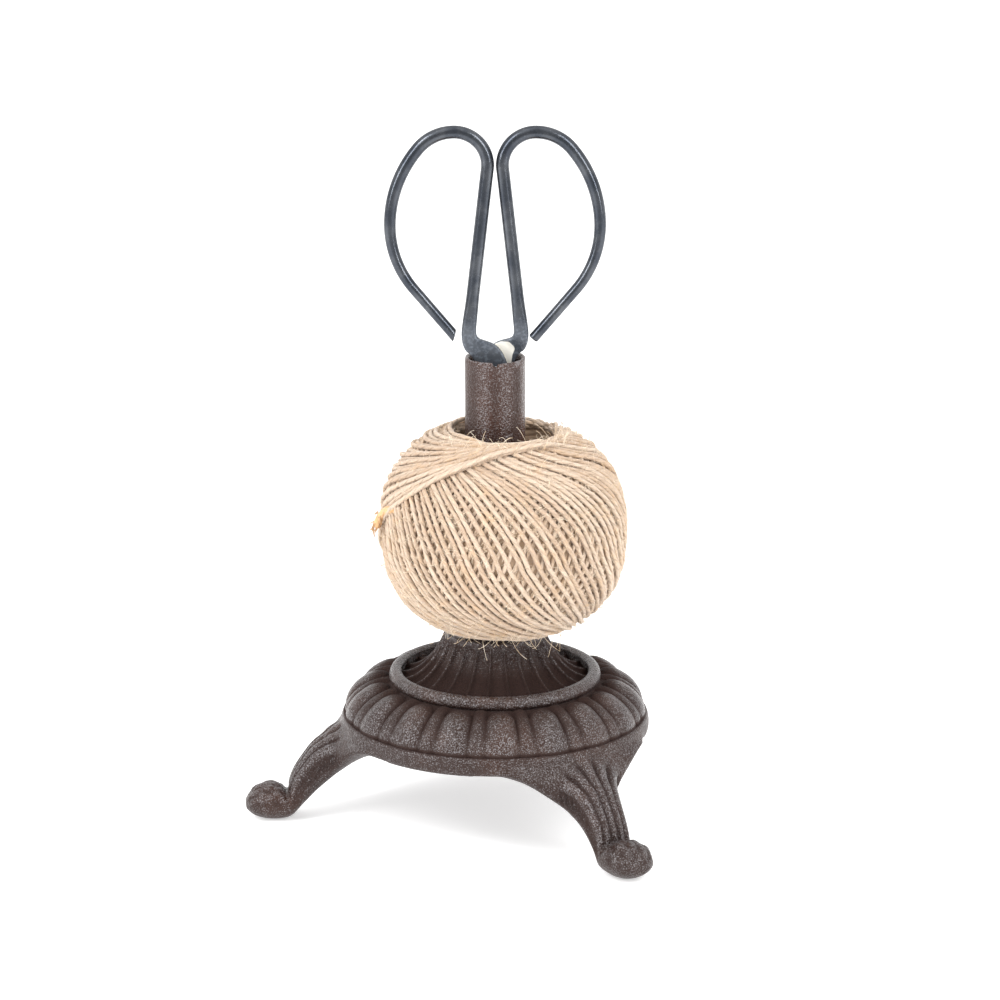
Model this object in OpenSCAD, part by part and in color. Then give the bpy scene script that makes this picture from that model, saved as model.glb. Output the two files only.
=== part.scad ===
// String holder: a cast three-legged stand with a hollow post, a ball of
// twine that turns on the post, and scissors that stand inside it.
// Millimetres. Z up, the table at z = 0, the post axis on x = y = 0,
// the front of the stand towards -Y.

/* [Casting] */
// Radius of the plain rim band
rim_r = 57; // [54:0.5:64]
// Height of the lower edge of the rim band above the table
rim_low = 32.5; // [28:0.5:38]
// Height of the rim band
rim_h = 7.2; // [5:0.2:9]
// Wall of the hollow casting
cast_wall = 4.5; // [3.5:0.1:5.5]
// Radius of the ring bead round the neck, to the middle of the bead
ring_r = 36.6; // [35:0.2:39]
// Radius of the bead itself
bead_r = 2.4; // [1.8:0.1:2.8]
// Width of the domed shoulder between bead and rim
dome_w = 15; // [13:0.5:17]
// Height of the domed shoulder
dome_h = 12.5; // [11:0.5:14]
// Height of the neck above the ring bead
neck_h = 16.8; // [14:0.2:20]
// Radius of the flat top of the neck
neck_r = 18.5; // [17:0.1:19.5]
// Number of wide lobes round the shoulder, each with one narrow rib
lobe_count = 18; // [12:1:24]
// Height of a lobe above the grooves beside it
lobe_h = 2.6; // [1:0.1:3]
// Number of sharp ridges round the neck
flute_count = 24; // [12:1:30]
// Height of a neck ridge above the hollow beside it
flute_h = 2.4; // [1:0.1:2.8]

/* [Legs] */
// Number of legs
leg_count = 3; // [3:1:4]
// Direction of the first leg, in degrees from +X
leg_turn = 64.3; // [0:0.1:120]
// Reach of a leg beyond the rim
leg_reach = 36.7; // [30:0.5:45]
// Depth of the grooves along a leg
leg_groove = 1.1; // [0.3:0.1:1.6]

/* [Post] */
// Outer diameter of the post tube
tube_d = 22.1; // [21:0.1:23]
// Wall of the post tube
tube_wall = 1.55; // [1.2:0.05:1.8]
// Height of the tube's open end above the table
tube_top = 174.7; // [170:0.1:180]
// Depth that the tube stands in the neck
tube_seat = 13; // [9:0.5:15]
// Width of the open seam at the tube's lip
seam_w = 0.8; // [0.4:0.1:1.2]
// Depth of the open seam at the tube's lip
seam_h = 2.2; // [1:0.1:4]

/* [Fixing bolt] */
// Thread diameter of the bolt under the casting
bolt_d = 6; // [5:0.5:7]
// Length of the bolt under its head
bolt_l = 26; // [22:0.5:30]
// Width across the flats of the bolt head
bolt_flats = 10; // [8:0.5:12]
// Height of the bolt head
bolt_head = 4; // [3:0.1:5]
// Radius of the boss that the bolt pulls on
boss_r = 13; // [11.5:0.1:15]
// Thickness of the casting under the tube's seat
boss_floor = 10; // [7:0.5:12]
// Outer diameter of the flat washer
washer_d = 12.5; // [11.5:0.1:16]
// Thickness of the flat washer
washer_t = 1.6; // [1:0.1:2]
// Outer diameter of the spring washer
spring_d = 11; // [10.5:0.1:12]
// Thickness of the spring washer
spring_t = 1.5; // [1:0.1:2]

/* [Twine ball] */
// Diameter of the twine
twine_d = 2; // [1.6:0.05:2.1]
// Half width of the ball, to the middle of its outer strands
ball_a = 43.2; // [40:0.2:46]
// Half height of the ball, to the middle of its outer strands
ball_c = 38.7; // [37:0.1:41]
// Extra height of the ball's upper half
ball_rise = 2; // [0:0.1:3]
// Fullness of the ball's shoulders, 1 for plain ellipses
ball_full = 0.85; // [0.8:0.05:1]
// Distance of the ball's axis from the post axis
ball_offset = 3.4; // [0:0.1:4]
// Radius of the hole through the ball
ball_hole = 16; // [15.2:0.1:16.5]
// Rise from the inner strands to the outer strands that cross them
strand_step = 3; // [2.9:0.05:3.4]
// Number of times that the twine passes over the top of the ball
wind_slots = 20; // [12:1:20]
// Tilt of a loop of twine from the level
wind_tilt = 60; // [56:0.5:61]
// Extra swing of a loop round the edge of the hole, in degrees
wind_swing = 5; // [4:0.1:5.5]
// Turns in the last band over the top of the ball
band_turns = 2.5; // [1.5:1:2.5]
// Step from turn to turn of that band, in degrees seen from the ball's middle
band_pitch = 3.5; // [3.4:0.05:3.6]
// Lean of the band's axis from upright, in degrees
band_lean = 23.5; // [20:0.5:25]
// Length of the loose end of the twine
tail_l = 6; // [3:0.5:10]

/* [Scissors] */
// Diameter of the handle rod
rod_d = 4.8; // [4:0.1:5.2]
// Gap between the two handles where they nearly touch
handle_gap = 0.7; // [0.5:0.1:2]
// Height of the handle's inner bar above the pivot, at its upper end
bar_up = 75.9; // [70:0.1:80]
// Height of the handle's inner bar above the pivot, at its lower end
bar_low = 16; // [15:0.1:18]
// Distance of the inner bar's lower end from the middle
bar_out = 9.5; // [8.5:0.1:10.5]
// Bend radius at the top of the handle, beside the inner bar
bend_a = 12; // [10:0.5:14]
// Bend radius of the handle's outer shoulder
bend_b = 16.9; // [15:0.1:18]
// Bend radius of the handle's flat side
bend_c = 43.8; // [40:0.2:48]
// Bend radius of the handle's lower curve
bend_d = 36.3; // [34:0.1:38]
// Length of the straight end of the handle rod
rod_end = 24; // [18:0.5:25]
// Thickness of a blade
blade_t = 2.5; // [1.8:0.1:2.7]
// Width of a blade below the pivot
blade_w = 9; // [7:0.1:9.5]
// Length of a blade from the pivot to its tip
blade_l = 87.7; // [75:0.1:88]
// Depth of the pivot below the tube's lip
pivot_depth = 6.7; // [6:0.1:8]
// Diameter of the pivot rivet
rivet_d = 4; // [3:0.1:5]
// Radius of the rivet's front head
rivet_head_r = 3.6; // [3:0.1:4]
// Height of the rivet's front head
rivet_head_h = 1.2; // [0.8:0.1:1.4]
// Thickness of the washer under the peened end
rivet_washer_t = 0.5; // [0.3:0.05:0.7]

/* [Clearances] */
// Clearance of parts that are pressed or bolted together
seat_gap = 0.03; // [0.01:0.01:0.08]
// Running clearance of the scissors' pivot
pivot_gap = 0.05; // [0.02:0.01:0.09]
// Clearance of the blade tips above the plug in the tube's foot
tip_gap = 0.3; // [0.2:0.1:1]
// Clearance between the blades
blade_gap = 0.1; // [0.06:0.02:0.2]
// Clearance of the bolt in the casting
bolt_gap = 0.3; // [0.1:0.05:0.5]

/* [Hidden] */
$fn = 64;

iron = [0.29, 0.24, 0.22];
gunmetal = [0.28, 0.30, 0.33];
bright_steel = [0.75, 0.75, 0.76];
twine_tan = [0.80, 0.68, 0.52];
over = 1;

// Heights and radii of the casting
rim_step = 2.5;
bead_lift = 2;
rim_top = rim_low + rim_h;
ring_z = rim_top + dome_h + bead_lift;
neck_top = ring_z + neck_h;
groove_r = rim_r - rim_step;
dome_in = groove_r - dome_w;

// Post and bolt
tube_r = tube_d / 2;
bore_r = tube_r - tube_wall;
tube_foot = neck_top - tube_seat;
boss_low = tube_foot - boss_floor;
washer_low = boss_low - washer_t;
spring_low = washer_low - spring_t;
bolt_r = bolt_d / 2;

// Ball
ball_rest = 0.6;
ball_z = neck_top + ball_c * pow(sin(wind_tilt + wind_swing), ball_full) + twine_d / 2 + ball_rest;
core_drop = strand_step + twine_d;
loop_rings = [-76, -58, -41, -24, -10, -2.5, 2.5, 10, 24, 41, 58, 76];
swing_reach = 16;

// Scissors
pivot_z = tube_top - pivot_depth;
plug_h = pivot_z - blade_l - tip_gap - tube_foot;
rod_r = rod_d / 2;
bar_in = rod_r + handle_gap / 2;
rivet_r = rivet_d / 2;

// General helpers
function unit(v) = v / norm(v);
function lerp(a, b, t) = a + (b - a) * t;

// Triangles between rings of equal point counts, with a fan on each end
function skin_faces(rings, sides) = concat(
    [for (i = [0:rings - 2]) for (j = [0:sides - 1])
        [i * sides + j, i * sides + (j + 1) % sides, (i + 1) * sides + (j + 1) % sides]],
    [for (i = [0:rings - 2]) for (j = [0:sides - 1])
        [i * sides + j, (i + 1) * sides + (j + 1) % sides, (i + 1) * sides + j]],
    [for (j = [0:sides - 1]) [rings * sides, (j + 1) % sides, j]],
    [for (j = [0:sides - 1])
        [rings * sides + 1, (rings - 1) * sides + j, (rings - 1) * sides + (j + 1) % sides]]
);

// A closed skin over a list of rings, each a list of points
module skin(rings, first, last) {
    polyhedron(
        concat([for (ring = rings) each ring], [first, last]),
        skin_faces(len(rings), len(rings[0]))
    );
}

module ring_plate(outer, inner, low, height) {
    translate([0, 0, low]) difference() {
        cylinder(r = outer, h = height);
        translate([0, 0, -over]) cylinder(r = inner, h = height + 2 * over);
    }
}

// Casting: the outer skin of neck, bead, shoulder and rim

// Share of a pattern's repeat at an angle, 0 at its middle and 0.5 between two
function repeat_share(angle, count) =
    let (u = angle * count / 360, f = u - floor(u)) min(f, 1 - f);

rib_edge = 0.34;
rib_share = 0.65;
function lobe(angle) =
    let (u = repeat_share(angle, lobe_count))
    u < rib_edge ? sqrt(1 - pow(u / rib_edge, 2))
    : rib_share * sqrt(1 - pow((0.5 - u) / (0.5 - rib_edge), 2));

function flute(angle) = pow(2 * repeat_share(angle, flute_count), 3);

// Share of a ridge's height that lies above the neck's own curve
flute_out = 0.4;

// Rows of the skin as radius, height, outward normal, lobe height and flute height
neck_steps = 6;
neck_foot = ring_r - bead_r;
neck_sweep = 45;
function neck_row(i) =
    let (a = neck_sweep * i / neck_steps,
         r = neck_foot - (neck_foot - neck_r) * sin(a) / sin(neck_sweep),
         z = ring_z + neck_h * (1 - cos(a)) / (1 - cos(neck_sweep)))
    [r, z, unit([sin(a), cos(a) / 2]), 0, flute_h * min(1, (neck_steps - i) / 3)];

function bead_row(a) =
    [ring_r + bead_r * cos(a), ring_z + bead_r * sin(a), [cos(a), sin(a)], 0, 0];

dome_steps = 6;
function dome_row(i) =
    let (a = 78 - 78 * i / dome_steps)
    [dome_in + dome_w * cos(a), rim_top + dome_h * sin(a), [cos(a), sin(a)],
     lobe_h * (i == 0 ? 0.45 : 1 - 0.4 * i / dome_steps), 0];

// Rounding of the rim band's edges and its slight belly
rim_round = 1.4;
rim_ease = 0.4;
rim_belly = 0.3;
skin_rows = concat(
    [for (i = [neck_steps:-1:0]) neck_row(i)],
    [for (a = [140:-40:-20]) bead_row(a)],
    [for (i = [0:dome_steps]) dome_row(i)],
    [[rim_r - rim_round / 2, rim_top - rim_ease, [1, 0], 0, 0],
     [rim_r, rim_top - rim_round, [1, 0], 0, 0],
     [rim_r + rim_belly, (rim_low + rim_top) / 2, [1, 0], 0, 0],
     [rim_r - rim_ease, rim_low, [1, 0], 0, 0]]
);

skin_columns = 144;
// Turn of the lobes that puts one of them at the front
lobe_turn = -87.3;
function skin_point(row, angle) =
    let (rise = row[3] * lobe(angle - lobe_turn) + row[4] * (flute(angle - lobe_turn) + flute_out - 1),
         r = row[0] + row[2][0] * rise)
    [r * cos(angle), r * sin(angle), row[1] + row[2][1] * rise];

module casting_skin() {
    skin(
        [for (row = skin_rows) [for (j = [0:skin_columns - 1]) skin_point(row, 360 * j / skin_columns)]],
        [0, 0, neck_top], [0, 0, rim_low]
    );
}

// Legs: sections as top point and bottom point, in shares of the reach beyond the
// rim and of the leg's height, half widths and roundness, from the web to the toe
leg_drop = 1.7;
leg_top = rim_top - leg_drop;
leg_sections = [
    [[-0.354, 1.00], [-0.354, 0.71], 19.0, 1.30],
    [[-0.190, 1.01], [-0.200, 0.60], 19.0, 1.30],
    [[-0.038, 0.98], [-0.071, 0.53], 18.0, 1.20],
    [[0.071, 0.90], [0.033, 0.48], 14.5, 1.05],
    [[0.180, 0.82], [0.120, 0.41], 11.0, 0.85],
    [[0.297, 0.73], [0.202, 0.33], 8.9, 0.78],
    [[0.398, 0.60], [0.283, 0.26], 8.0, 0.76],
    [[0.480, 0.48], [0.349, 0.19], 7.6, 0.76],
    [[0.531, 0.35], [0.420, 0.12], 7.5, 0.78],
    [[0.556, 0.25], [0.501, 0.03], 7.8, 0.85],
    [[0.643, 0.33], [0.589, -0.03], 8.5, 0.92],
    [[0.790, 0.34], [0.741, -0.04], 8.8, 0.92],
    [[0.921, 0.26], [0.883, 0.02], 7.4, 1.00],
    [[0.989, 0.17], [0.975, 0.08], 3.4, 1.00]
];
leg_sides = 16;
leg_grooved = 0.9;

function bulge(v, round) = sign(v) * pow(abs(v), round);
function leg_place(share) = [rim_r + leg_reach * share[0], 0, leg_top * share[1]];
function leg_point(section, j) =
    let (high = leg_place(section[0]), low = leg_place(section[1]),
         a = -360 * j / leg_sides, up = bulge(sin(a), section[3]),
         grooved = section[3] < leg_grooved && sin(a) > 0.1 && j % 2 == 1,
         spine = unit(high - low))
    (high + low) / 2 + (high - low) / 2 * up - spine * (grooved ? leg_groove : 0)
        + [0, section[2] * bulge(cos(a), section[3]), 0];

module leg() {
    skin(
        [for (s = leg_sections) [for (j = [0:leg_sides - 1]) leg_point(s, j)]],
        (leg_place(leg_sections[0][0]) + leg_place(leg_sections[0][1])) / 2,
        leg_place([1, 0.13])
    );
}

// The hollow under the casting, round the boss that takes the bolt
module casting_hollow() {
    inner_r = rim_r - cast_wall;
    boss_foot = tube_foot - bead_lift;
    rotate_extrude() polygon([
        [0, -over], [inner_r, -over], [inner_r, rim_low + rim_h * 0.86],
        [dome_in + dome_w * 0.5, rim_top + dome_h * 0.87 - cast_wall],
        [ring_r, ring_z - cast_wall * 1.1],
        [neck_foot * 0.77, ring_z - cast_wall * 0.78],
        [boss_r * 1.54, boss_foot],
        [boss_r, boss_foot], [boss_r, boss_low], [0, boss_low]
    ]);
}

module base_casting() {
    color(iron) difference() {
        union() {
            casting_skin();
            for (k = [0:leg_count - 1]) rotate([0, 0, leg_turn + 360 * k / leg_count]) leg();
        }
        casting_hollow();
        translate([0, 0, tube_foot]) cylinder(r = tube_r + seat_gap, h = tube_seat + over);
        translate([0, 0, boss_low - over]) cylinder(r = bolt_r + bolt_gap, h = boss_floor + 2 * over);
        translate([0, 0, -rim_low]) cylinder(r = (rim_r + leg_reach) * 1.2, h = rim_low);
    }
}

// Post
module post_tube() {
    color(iron) difference() {
        ring_plate(tube_r, bore_r, tube_foot, tube_top - tube_foot);
        translate([-seam_w / 2, -tube_r - over, tube_top - seam_h])
            cube([seam_w, tube_wall + 2 * over, seam_h + over]);
    }
}

module post_plug() {
    color(bright_steel) difference() {
        translate([0, 0, tube_foot]) cylinder(r = bore_r - seat_gap, h = plug_h);
        translate([0, 0, tube_foot - over])
            cylinder(r = bolt_r + seat_gap, h = spring_low + bolt_l - tube_foot + 2 * over);
    }
}

// Fixing from below
module fixing_bolt() {
    color(bright_steel) union() {
        translate([0, 0, spring_low]) cylinder(r = bolt_r, h = bolt_l);
        translate([0, 0, spring_low - bolt_head])
            cylinder(r = bolt_flats / sqrt(3), h = bolt_head, $fn = 6);
    }
}

module flat_washer() {
    color(bright_steel) ring_plate(washer_d / 2, bolt_r + bolt_gap, washer_low, washer_t);
}

spring_split = 1;
module spring_washer() {
    color(gunmetal) difference() {
        ring_plate(spring_d / 2, bolt_r + seat_gap, spring_low, spring_t);
        translate([0, -spring_split / 2, spring_low - over])
            cube([spring_d, spring_split, spring_t + 2 * over]);
    }
}

// Ball of twine

// A place on the ball from its latitude and turn, raised by levels of strands
function on_ball(latitude, turn, level) =
    let (lift = (level - 1) * strand_step, wide = (ball_a + lift) * pow(cos(latitude), ball_full))
    [wide * cos(turn), wide * sin(turn), ball_height(latitude, lift)];
function ball_height(latitude, lift) =
    let (c = ball_c + (latitude > 0 ? ball_rise : 0) + lift)
    c * sign(latitude) * pow(abs(sin(latitude)), ball_full);

core_a = ball_a - core_drop;
core_points = 20;

module twine_core() {
    limit = acos(pow(ball_hole / core_a, 1 / ball_full));
    color(twine_tan * 0.6) translate([ball_offset, 0, ball_z]) rotate_extrude() polygon(
        [for (i = [0:core_points])
            let (a = lerp(-limit, limit, i / core_points))
            [core_a * pow(cos(a), ball_full), ball_height(a, -core_drop)]]
    );
}

// The loops tilt, creep round by one slot each, lie low on the way up and high on the way down
wind_last = wind_slots - 1;
wind_turn = -3.2 - 90 - 360 / wind_slots * (wind_last + 0.25);
function swing(offset) = wind_swing * pow(cos(min(90, abs(offset) * 90 / swing_reach)), 2);
function loop_point(loop, side, offset) =
    let (t = 360 * loop + (side > 0 ? 90 : 270) + offset,
         latitude = asin(sin(wind_tilt) * sin(t)) + side * swing(offset),
         way = 360 * loop + (side > 0 ? 90 : 270)
             + atan2(sin(offset), cos(wind_tilt) * cos(offset)),
         turn = wind_turn + way + 360 / wind_slots * t / 360)
    on_ball(latitude, turn, side * offset > 0 ? 1 : 0);

main_points = concat(
    [for (o = loop_rings) if (o < 0) loop_point(0, 1, o)],
    [for (o = loop_rings) if (o > 0) loop_point(0, 1, o)],
    [for (o = loop_rings) loop_point(0, -1, o)],
    [for (k = [1:wind_last - 1]) for (side = [1, -1]) for (o = loop_rings) loop_point(k, side, o)],
    [for (o = loop_rings) if (o < 0) loop_point(wind_last, 1, o)]
);

// The last band: a flat spiral round a leaning axis, on top of all loops
band_first = 48.8;
band_level = 1.97;
band_rise = [[2, 0.9], [6, 1.45]];
band_end = 180 + 360 * (band_turns - 0.5);
band_angles = concat([for (b = band_rise) b[0]], [for (a = [12:15:band_end]) a], [band_end]);
function band_level_at(angle) =
    angle <= band_rise[0][0] ? band_rise[0][1] : angle <= band_rise[1][0] ? band_rise[1][1] : band_level;
function band_direction(angle) =
    let (open = band_first + band_pitch * angle / 360,
         p = [sin(open) * cos(angle), sin(open) * sin(angle), cos(open)])
    [p[0] * cos(band_lean) - p[2] * sin(band_lean), p[1], p[0] * sin(band_lean) + p[2] * cos(band_lean)];
function band_point(angle) =
    let (d = band_direction(angle), level = band_level_at(angle))
    on_ball(asin(d[2]), atan2(d[1], d[0]) - 3.2, level);
band_points = [for (a = band_angles) band_point(a)];

// The start rises square out of the core, and the loose end leaves the ball at a slant
wind_start = main_points[0];
start_slope = [1 / pow(ball_a, 2), 1 / pow(ball_a, 2), 1 / pow(ball_c, 2)];
start_up = unit([for (i = [0:2]) wind_start[i] * start_slope[i]]);
band_tip = band_points[len(band_points) - 1];
tail_way = unit(unit(band_tip - band_points[len(band_points) - 2]) + unit(band_tip) * 0.5);
start_stub = twine_d * 0.97;
route = concat(
    [wind_start - start_up * start_stub], main_points, band_points, [band_tip + tail_way * tail_l]
);

strand_sides = 6;
function strand_way(k) =
    let (last = len(route) - 1, here = route[k],
         came = k == 0 ? [0, 0, 0] : unit(here - route[k - 1]),
         goes = k == last ? [0, 0, 0] : unit(route[k + 1] - here))
    unit(came + goes);
function strand_up(k) = k == 0 ? unit(route[2] - route[1]) : unit(route[k]);
function strand_ring(k) =
    let (way = strand_way(k), across = unit(cross(way, strand_up(k))), up = cross(across, way))
    [for (j = [0:strand_sides - 1])
        let (a = 360 * j / strand_sides) route[k] + (across * cos(a) + up * sin(a)) * twine_d / 2];

// The least gap of the strand to itself, measured between points along it
gap_parts = 4;
gap_skip = 3 * gap_parts;
gap_points = [for (k = [1:len(route) - 2]) for (p = [0:gap_parts - 1])
    lerp(route[k], route[k + 1], p / gap_parts)];
function gap_at(i) = min([for (j = [0:len(gap_points) - 1])
    if (abs(i - j) > gap_skip) norm(gap_points[i] - gap_points[j])]);
loop_span = 2 * len(loop_rings) * gap_parts;
gap_from = 2 * loop_span;
gap_band = (len(main_points) - len(loop_rings)) * gap_parts;

module twine_winding() {
    in_loop = min([for (i = [gap_from:gap_from + loop_span]) gap_at(i)]);
    in_start = min([for (i = [0:loop_span / 2]) gap_at(i)]);
    in_band = min([for (i = [gap_band:len(gap_points) - 1]) gap_at(i)]);
    echo(least_gap = min(in_loop, in_start, in_band) - twine_d,
         loops = in_loop - twine_d, start = in_start - twine_d, band = in_band - twine_d);
    color(twine_tan) translate([ball_offset, 0, ball_z]) skin(
        [for (k = [0:len(route) - 1]) strand_ring(k)], route[0], route[len(route) - 1]
    );
}

// Scissors: each half is drawn with its handle at +X

// Where the rod runs, from the inner bar round the loop to its loose end
bar_foot = [bar_out, pivot_z + bar_low];
bar_head = [bar_in, pivot_z + bar_up];
bar_lean = atan2(bar_out - bar_in, bar_up - bar_low);
arc_b_turn = 50;
arc_c_turn = 90 - arc_b_turn;
arc_d_turn = 40.2;
centre_a = bar_head + bend_a * [cos(bar_lean), sin(bar_lean)];
centre_b = centre_a + [0, bend_a - bend_b];
centre_c = centre_b + (bend_b - bend_c) * [sin(arc_b_turn), cos(arc_b_turn)];
centre_d = centre_c + [bend_c - bend_d, 0];
rod_last = centre_d + bend_d * [cos(arc_d_turn), -sin(arc_d_turn)];
rod_way = [-sin(arc_d_turn), -cos(arc_d_turn)];

// Rings of the rod as place and heading, with the heading turning clockwise from upright
function rod_arc(centre, radius, from, to, steps) =
    [for (i = [1:steps]) let (a = lerp(from, to, i / steps)) [centre + radius * [cos(a), sin(a)], a - 90]];
rod_rings = concat(
    [[bar_foot, 90 + bar_lean], [bar_head, 90 + bar_lean]],
    rod_arc(centre_a, bend_a, 180 + bar_lean, 90, 8),
    rod_arc(centre_b, bend_b, 90, 90 - arc_b_turn, 5),
    rod_arc(centre_c, bend_c, arc_c_turn, 0, 4),
    rod_arc(centre_d, bend_d, 0, -arc_d_turn, 4),
    [[rod_last + rod_way * rod_end, -arc_d_turn - 90]]
);
rod_sides = 12;
function rod_ring(ring) = [for (j = [0:rod_sides - 1])
    let (a = 360 * j / rod_sides, side = [-sin(ring[1]), cos(ring[1])] * rod_r * cos(a))
    [ring[0][0] + side[0], rod_r * sin(a), ring[0][1] + side[1]]];

module handle_rod() {
    first = rod_rings[0][0];
    last = rod_rings[len(rod_rings) - 1][0];
    skin([for (r = rod_rings) rod_ring(r)], [first[0], 0, first[1]], [last[0], 0, last[1]]);
}

// Outlines, from the pivot: the forged shoulder and the blade
shoulder_w = 6.2;
shoulder_rise = 12;
function bar_at(height) = bar_out - (height - bar_low) * tan(bar_lean);
shoulder_outline = [
    [bar_at(bar_low + shoulder_rise) - rod_r * 0.9, bar_low + shoulder_rise],
    [bar_at(bar_low + shoulder_rise) + rod_r * 0.9, bar_low + shoulder_rise],
    [bar_out + shoulder_w / 2, bar_low - 1],
    [bar_out + shoulder_w / 2 - 0.3, bar_low - 3],
    [bar_out - shoulder_w / 2 + 0.6, bar_low - 3],
    [bar_out - shoulder_w / 2, bar_low - 1]
];
blade_edge = blade_w / 3;
blade_back = blade_w - blade_edge;
lip = pivot_depth;
blade_outline = [
    [bar_out + shoulder_w / 2, bar_low - 1],
    [bar_out + shoulder_w / 2 - 0.6, bar_low - 4],
    [bore_r + 0.7, lip + 3.1],
    [bore_r - 2.3, lip - 0.4],
    [bore_r - 4.2, 0],
    [blade_edge, -9],
    [blade_edge * 0.75, -30],
    [0.9, -blade_l + 1.2],
    [-0.5, -blade_l],
    [-blade_back * 0.42, -blade_l + 16],
    [-blade_back * 0.76, -blade_l + 40],
    [-blade_back, -18],
    [-blade_back, -8],
    [-blade_back + 1.2, 0],
    [-2.5, lip - 0.7],
    [1.2, lip + 3.4],
    [bar_out - shoulder_w / 2, bar_low - 1.5]
];

// A flat piece from an outline in x and z, from one depth to another
module flat_piece(outline, from, thick) {
    translate([0, from + thick, pivot_z]) rotate([90, 0, 0]) linear_extrude(thick) polygon(outline);
}

module scissor_half(layer) {
    near = layer > 0 ? blade_gap / 2 : -blade_gap / 2 - blade_t;
    shoulder_t = rod_d - 0.3;
    difference() {
        union() {
            handle_rod();
            flat_piece(shoulder_outline, -shoulder_t / 2, shoulder_t);
            flat_piece(blade_outline, near, blade_t);
        }
        translate([0, near + blade_t + over, pivot_z]) rotate([90, 0, 0])
            cylinder(r = rivet_r + pivot_gap, h = blade_t + 2 * over);
    }
}

module scissor_half_front() {
    color(gunmetal) mirror([1, 0, 0]) scissor_half(-1);
}

module scissor_half_rear() {
    color(gunmetal) scissor_half(1);
}

// Pivot
stack = blade_t + blade_gap / 2 + pivot_gap;
peen_h = 0.8;
peen_r = rivet_r + 0.8;

module pivot_rivet() {
    color(bright_steel) translate([0, 0, pivot_z]) rotate([90, 0, 0]) rotate_extrude() polygon([
        [0, -stack - rivet_washer_t - peen_h],
        [peen_r - 0.5, -stack - rivet_washer_t - peen_h],
        [peen_r, -stack - rivet_washer_t - peen_h + 0.5],
        [peen_r, -stack - rivet_washer_t],
        [rivet_r, -stack - rivet_washer_t],
        [rivet_r, stack],
        [rivet_head_r, stack],
        [rivet_head_r, stack + 0.4],
        [rivet_head_r - 1.2, stack + rivet_head_h],
        [0, stack + rivet_head_h]
    ]);
}

module rivet_washer() {
    color(bright_steel) translate([0, 0, pivot_z]) rotate([90, 0, 0])
        ring_plate(rivet_head_r - 0.2, rivet_r + seat_gap, -stack - rivet_washer_t, rivet_washer_t);
}

base_casting();
post_tube();
post_plug();
fixing_bolt();
flat_washer();
spring_washer();
twine_core();
twine_winding();
scissor_half_front();
scissor_half_rear();
pivot_rivet();
rivet_washer();
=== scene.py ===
"""String holder: cast stand, post tube, ball of jute twine and loop-handled scissors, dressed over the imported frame."""

from __future__ import annotations

import logging
import math
from dataclasses import dataclass
from enum import Enum
from typing import Any, Iterator, Sequence

import bpy
import numpy as np
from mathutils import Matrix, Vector


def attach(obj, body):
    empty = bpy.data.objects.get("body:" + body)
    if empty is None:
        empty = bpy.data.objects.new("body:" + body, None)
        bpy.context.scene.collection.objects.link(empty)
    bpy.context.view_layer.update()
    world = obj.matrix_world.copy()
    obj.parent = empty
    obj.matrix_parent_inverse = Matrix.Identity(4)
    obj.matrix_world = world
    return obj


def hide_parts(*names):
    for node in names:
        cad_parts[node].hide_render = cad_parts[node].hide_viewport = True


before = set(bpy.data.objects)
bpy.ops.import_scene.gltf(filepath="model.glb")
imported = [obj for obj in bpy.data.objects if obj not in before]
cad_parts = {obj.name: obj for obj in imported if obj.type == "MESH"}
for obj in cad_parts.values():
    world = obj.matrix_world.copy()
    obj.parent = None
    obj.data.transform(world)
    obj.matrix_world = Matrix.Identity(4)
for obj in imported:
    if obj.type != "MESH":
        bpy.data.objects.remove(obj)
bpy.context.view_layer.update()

LOG = logging.getLogger("string_holder")
MM = 0.001
TAU = 2.0 * math.pi

Array = np.ndarray
Piece = bpy.types.Object
Node = bpy.types.Node
Socket = bpy.types.NodeSocket
Colour = tuple[float, float, float, float]
Pair = tuple[float, float]
Triple = tuple[float, float, float]
WHITE: Colour = (1.0, 1.0, 1.0, 1.0)


class Body(Enum):
    """The moving bodies of the frame."""

    STAND = "stand"
    BALL = "twine_ball"
    LEFT = "scissor_left"
    RIGHT = "scissor_right"


class Slot(Enum):
    """The record's material slots that the pieces use."""

    IRON = "cast_iron_brown"
    GUNMETAL = "gunmetal_steel"
    JUTE = "jute_twine"


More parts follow.
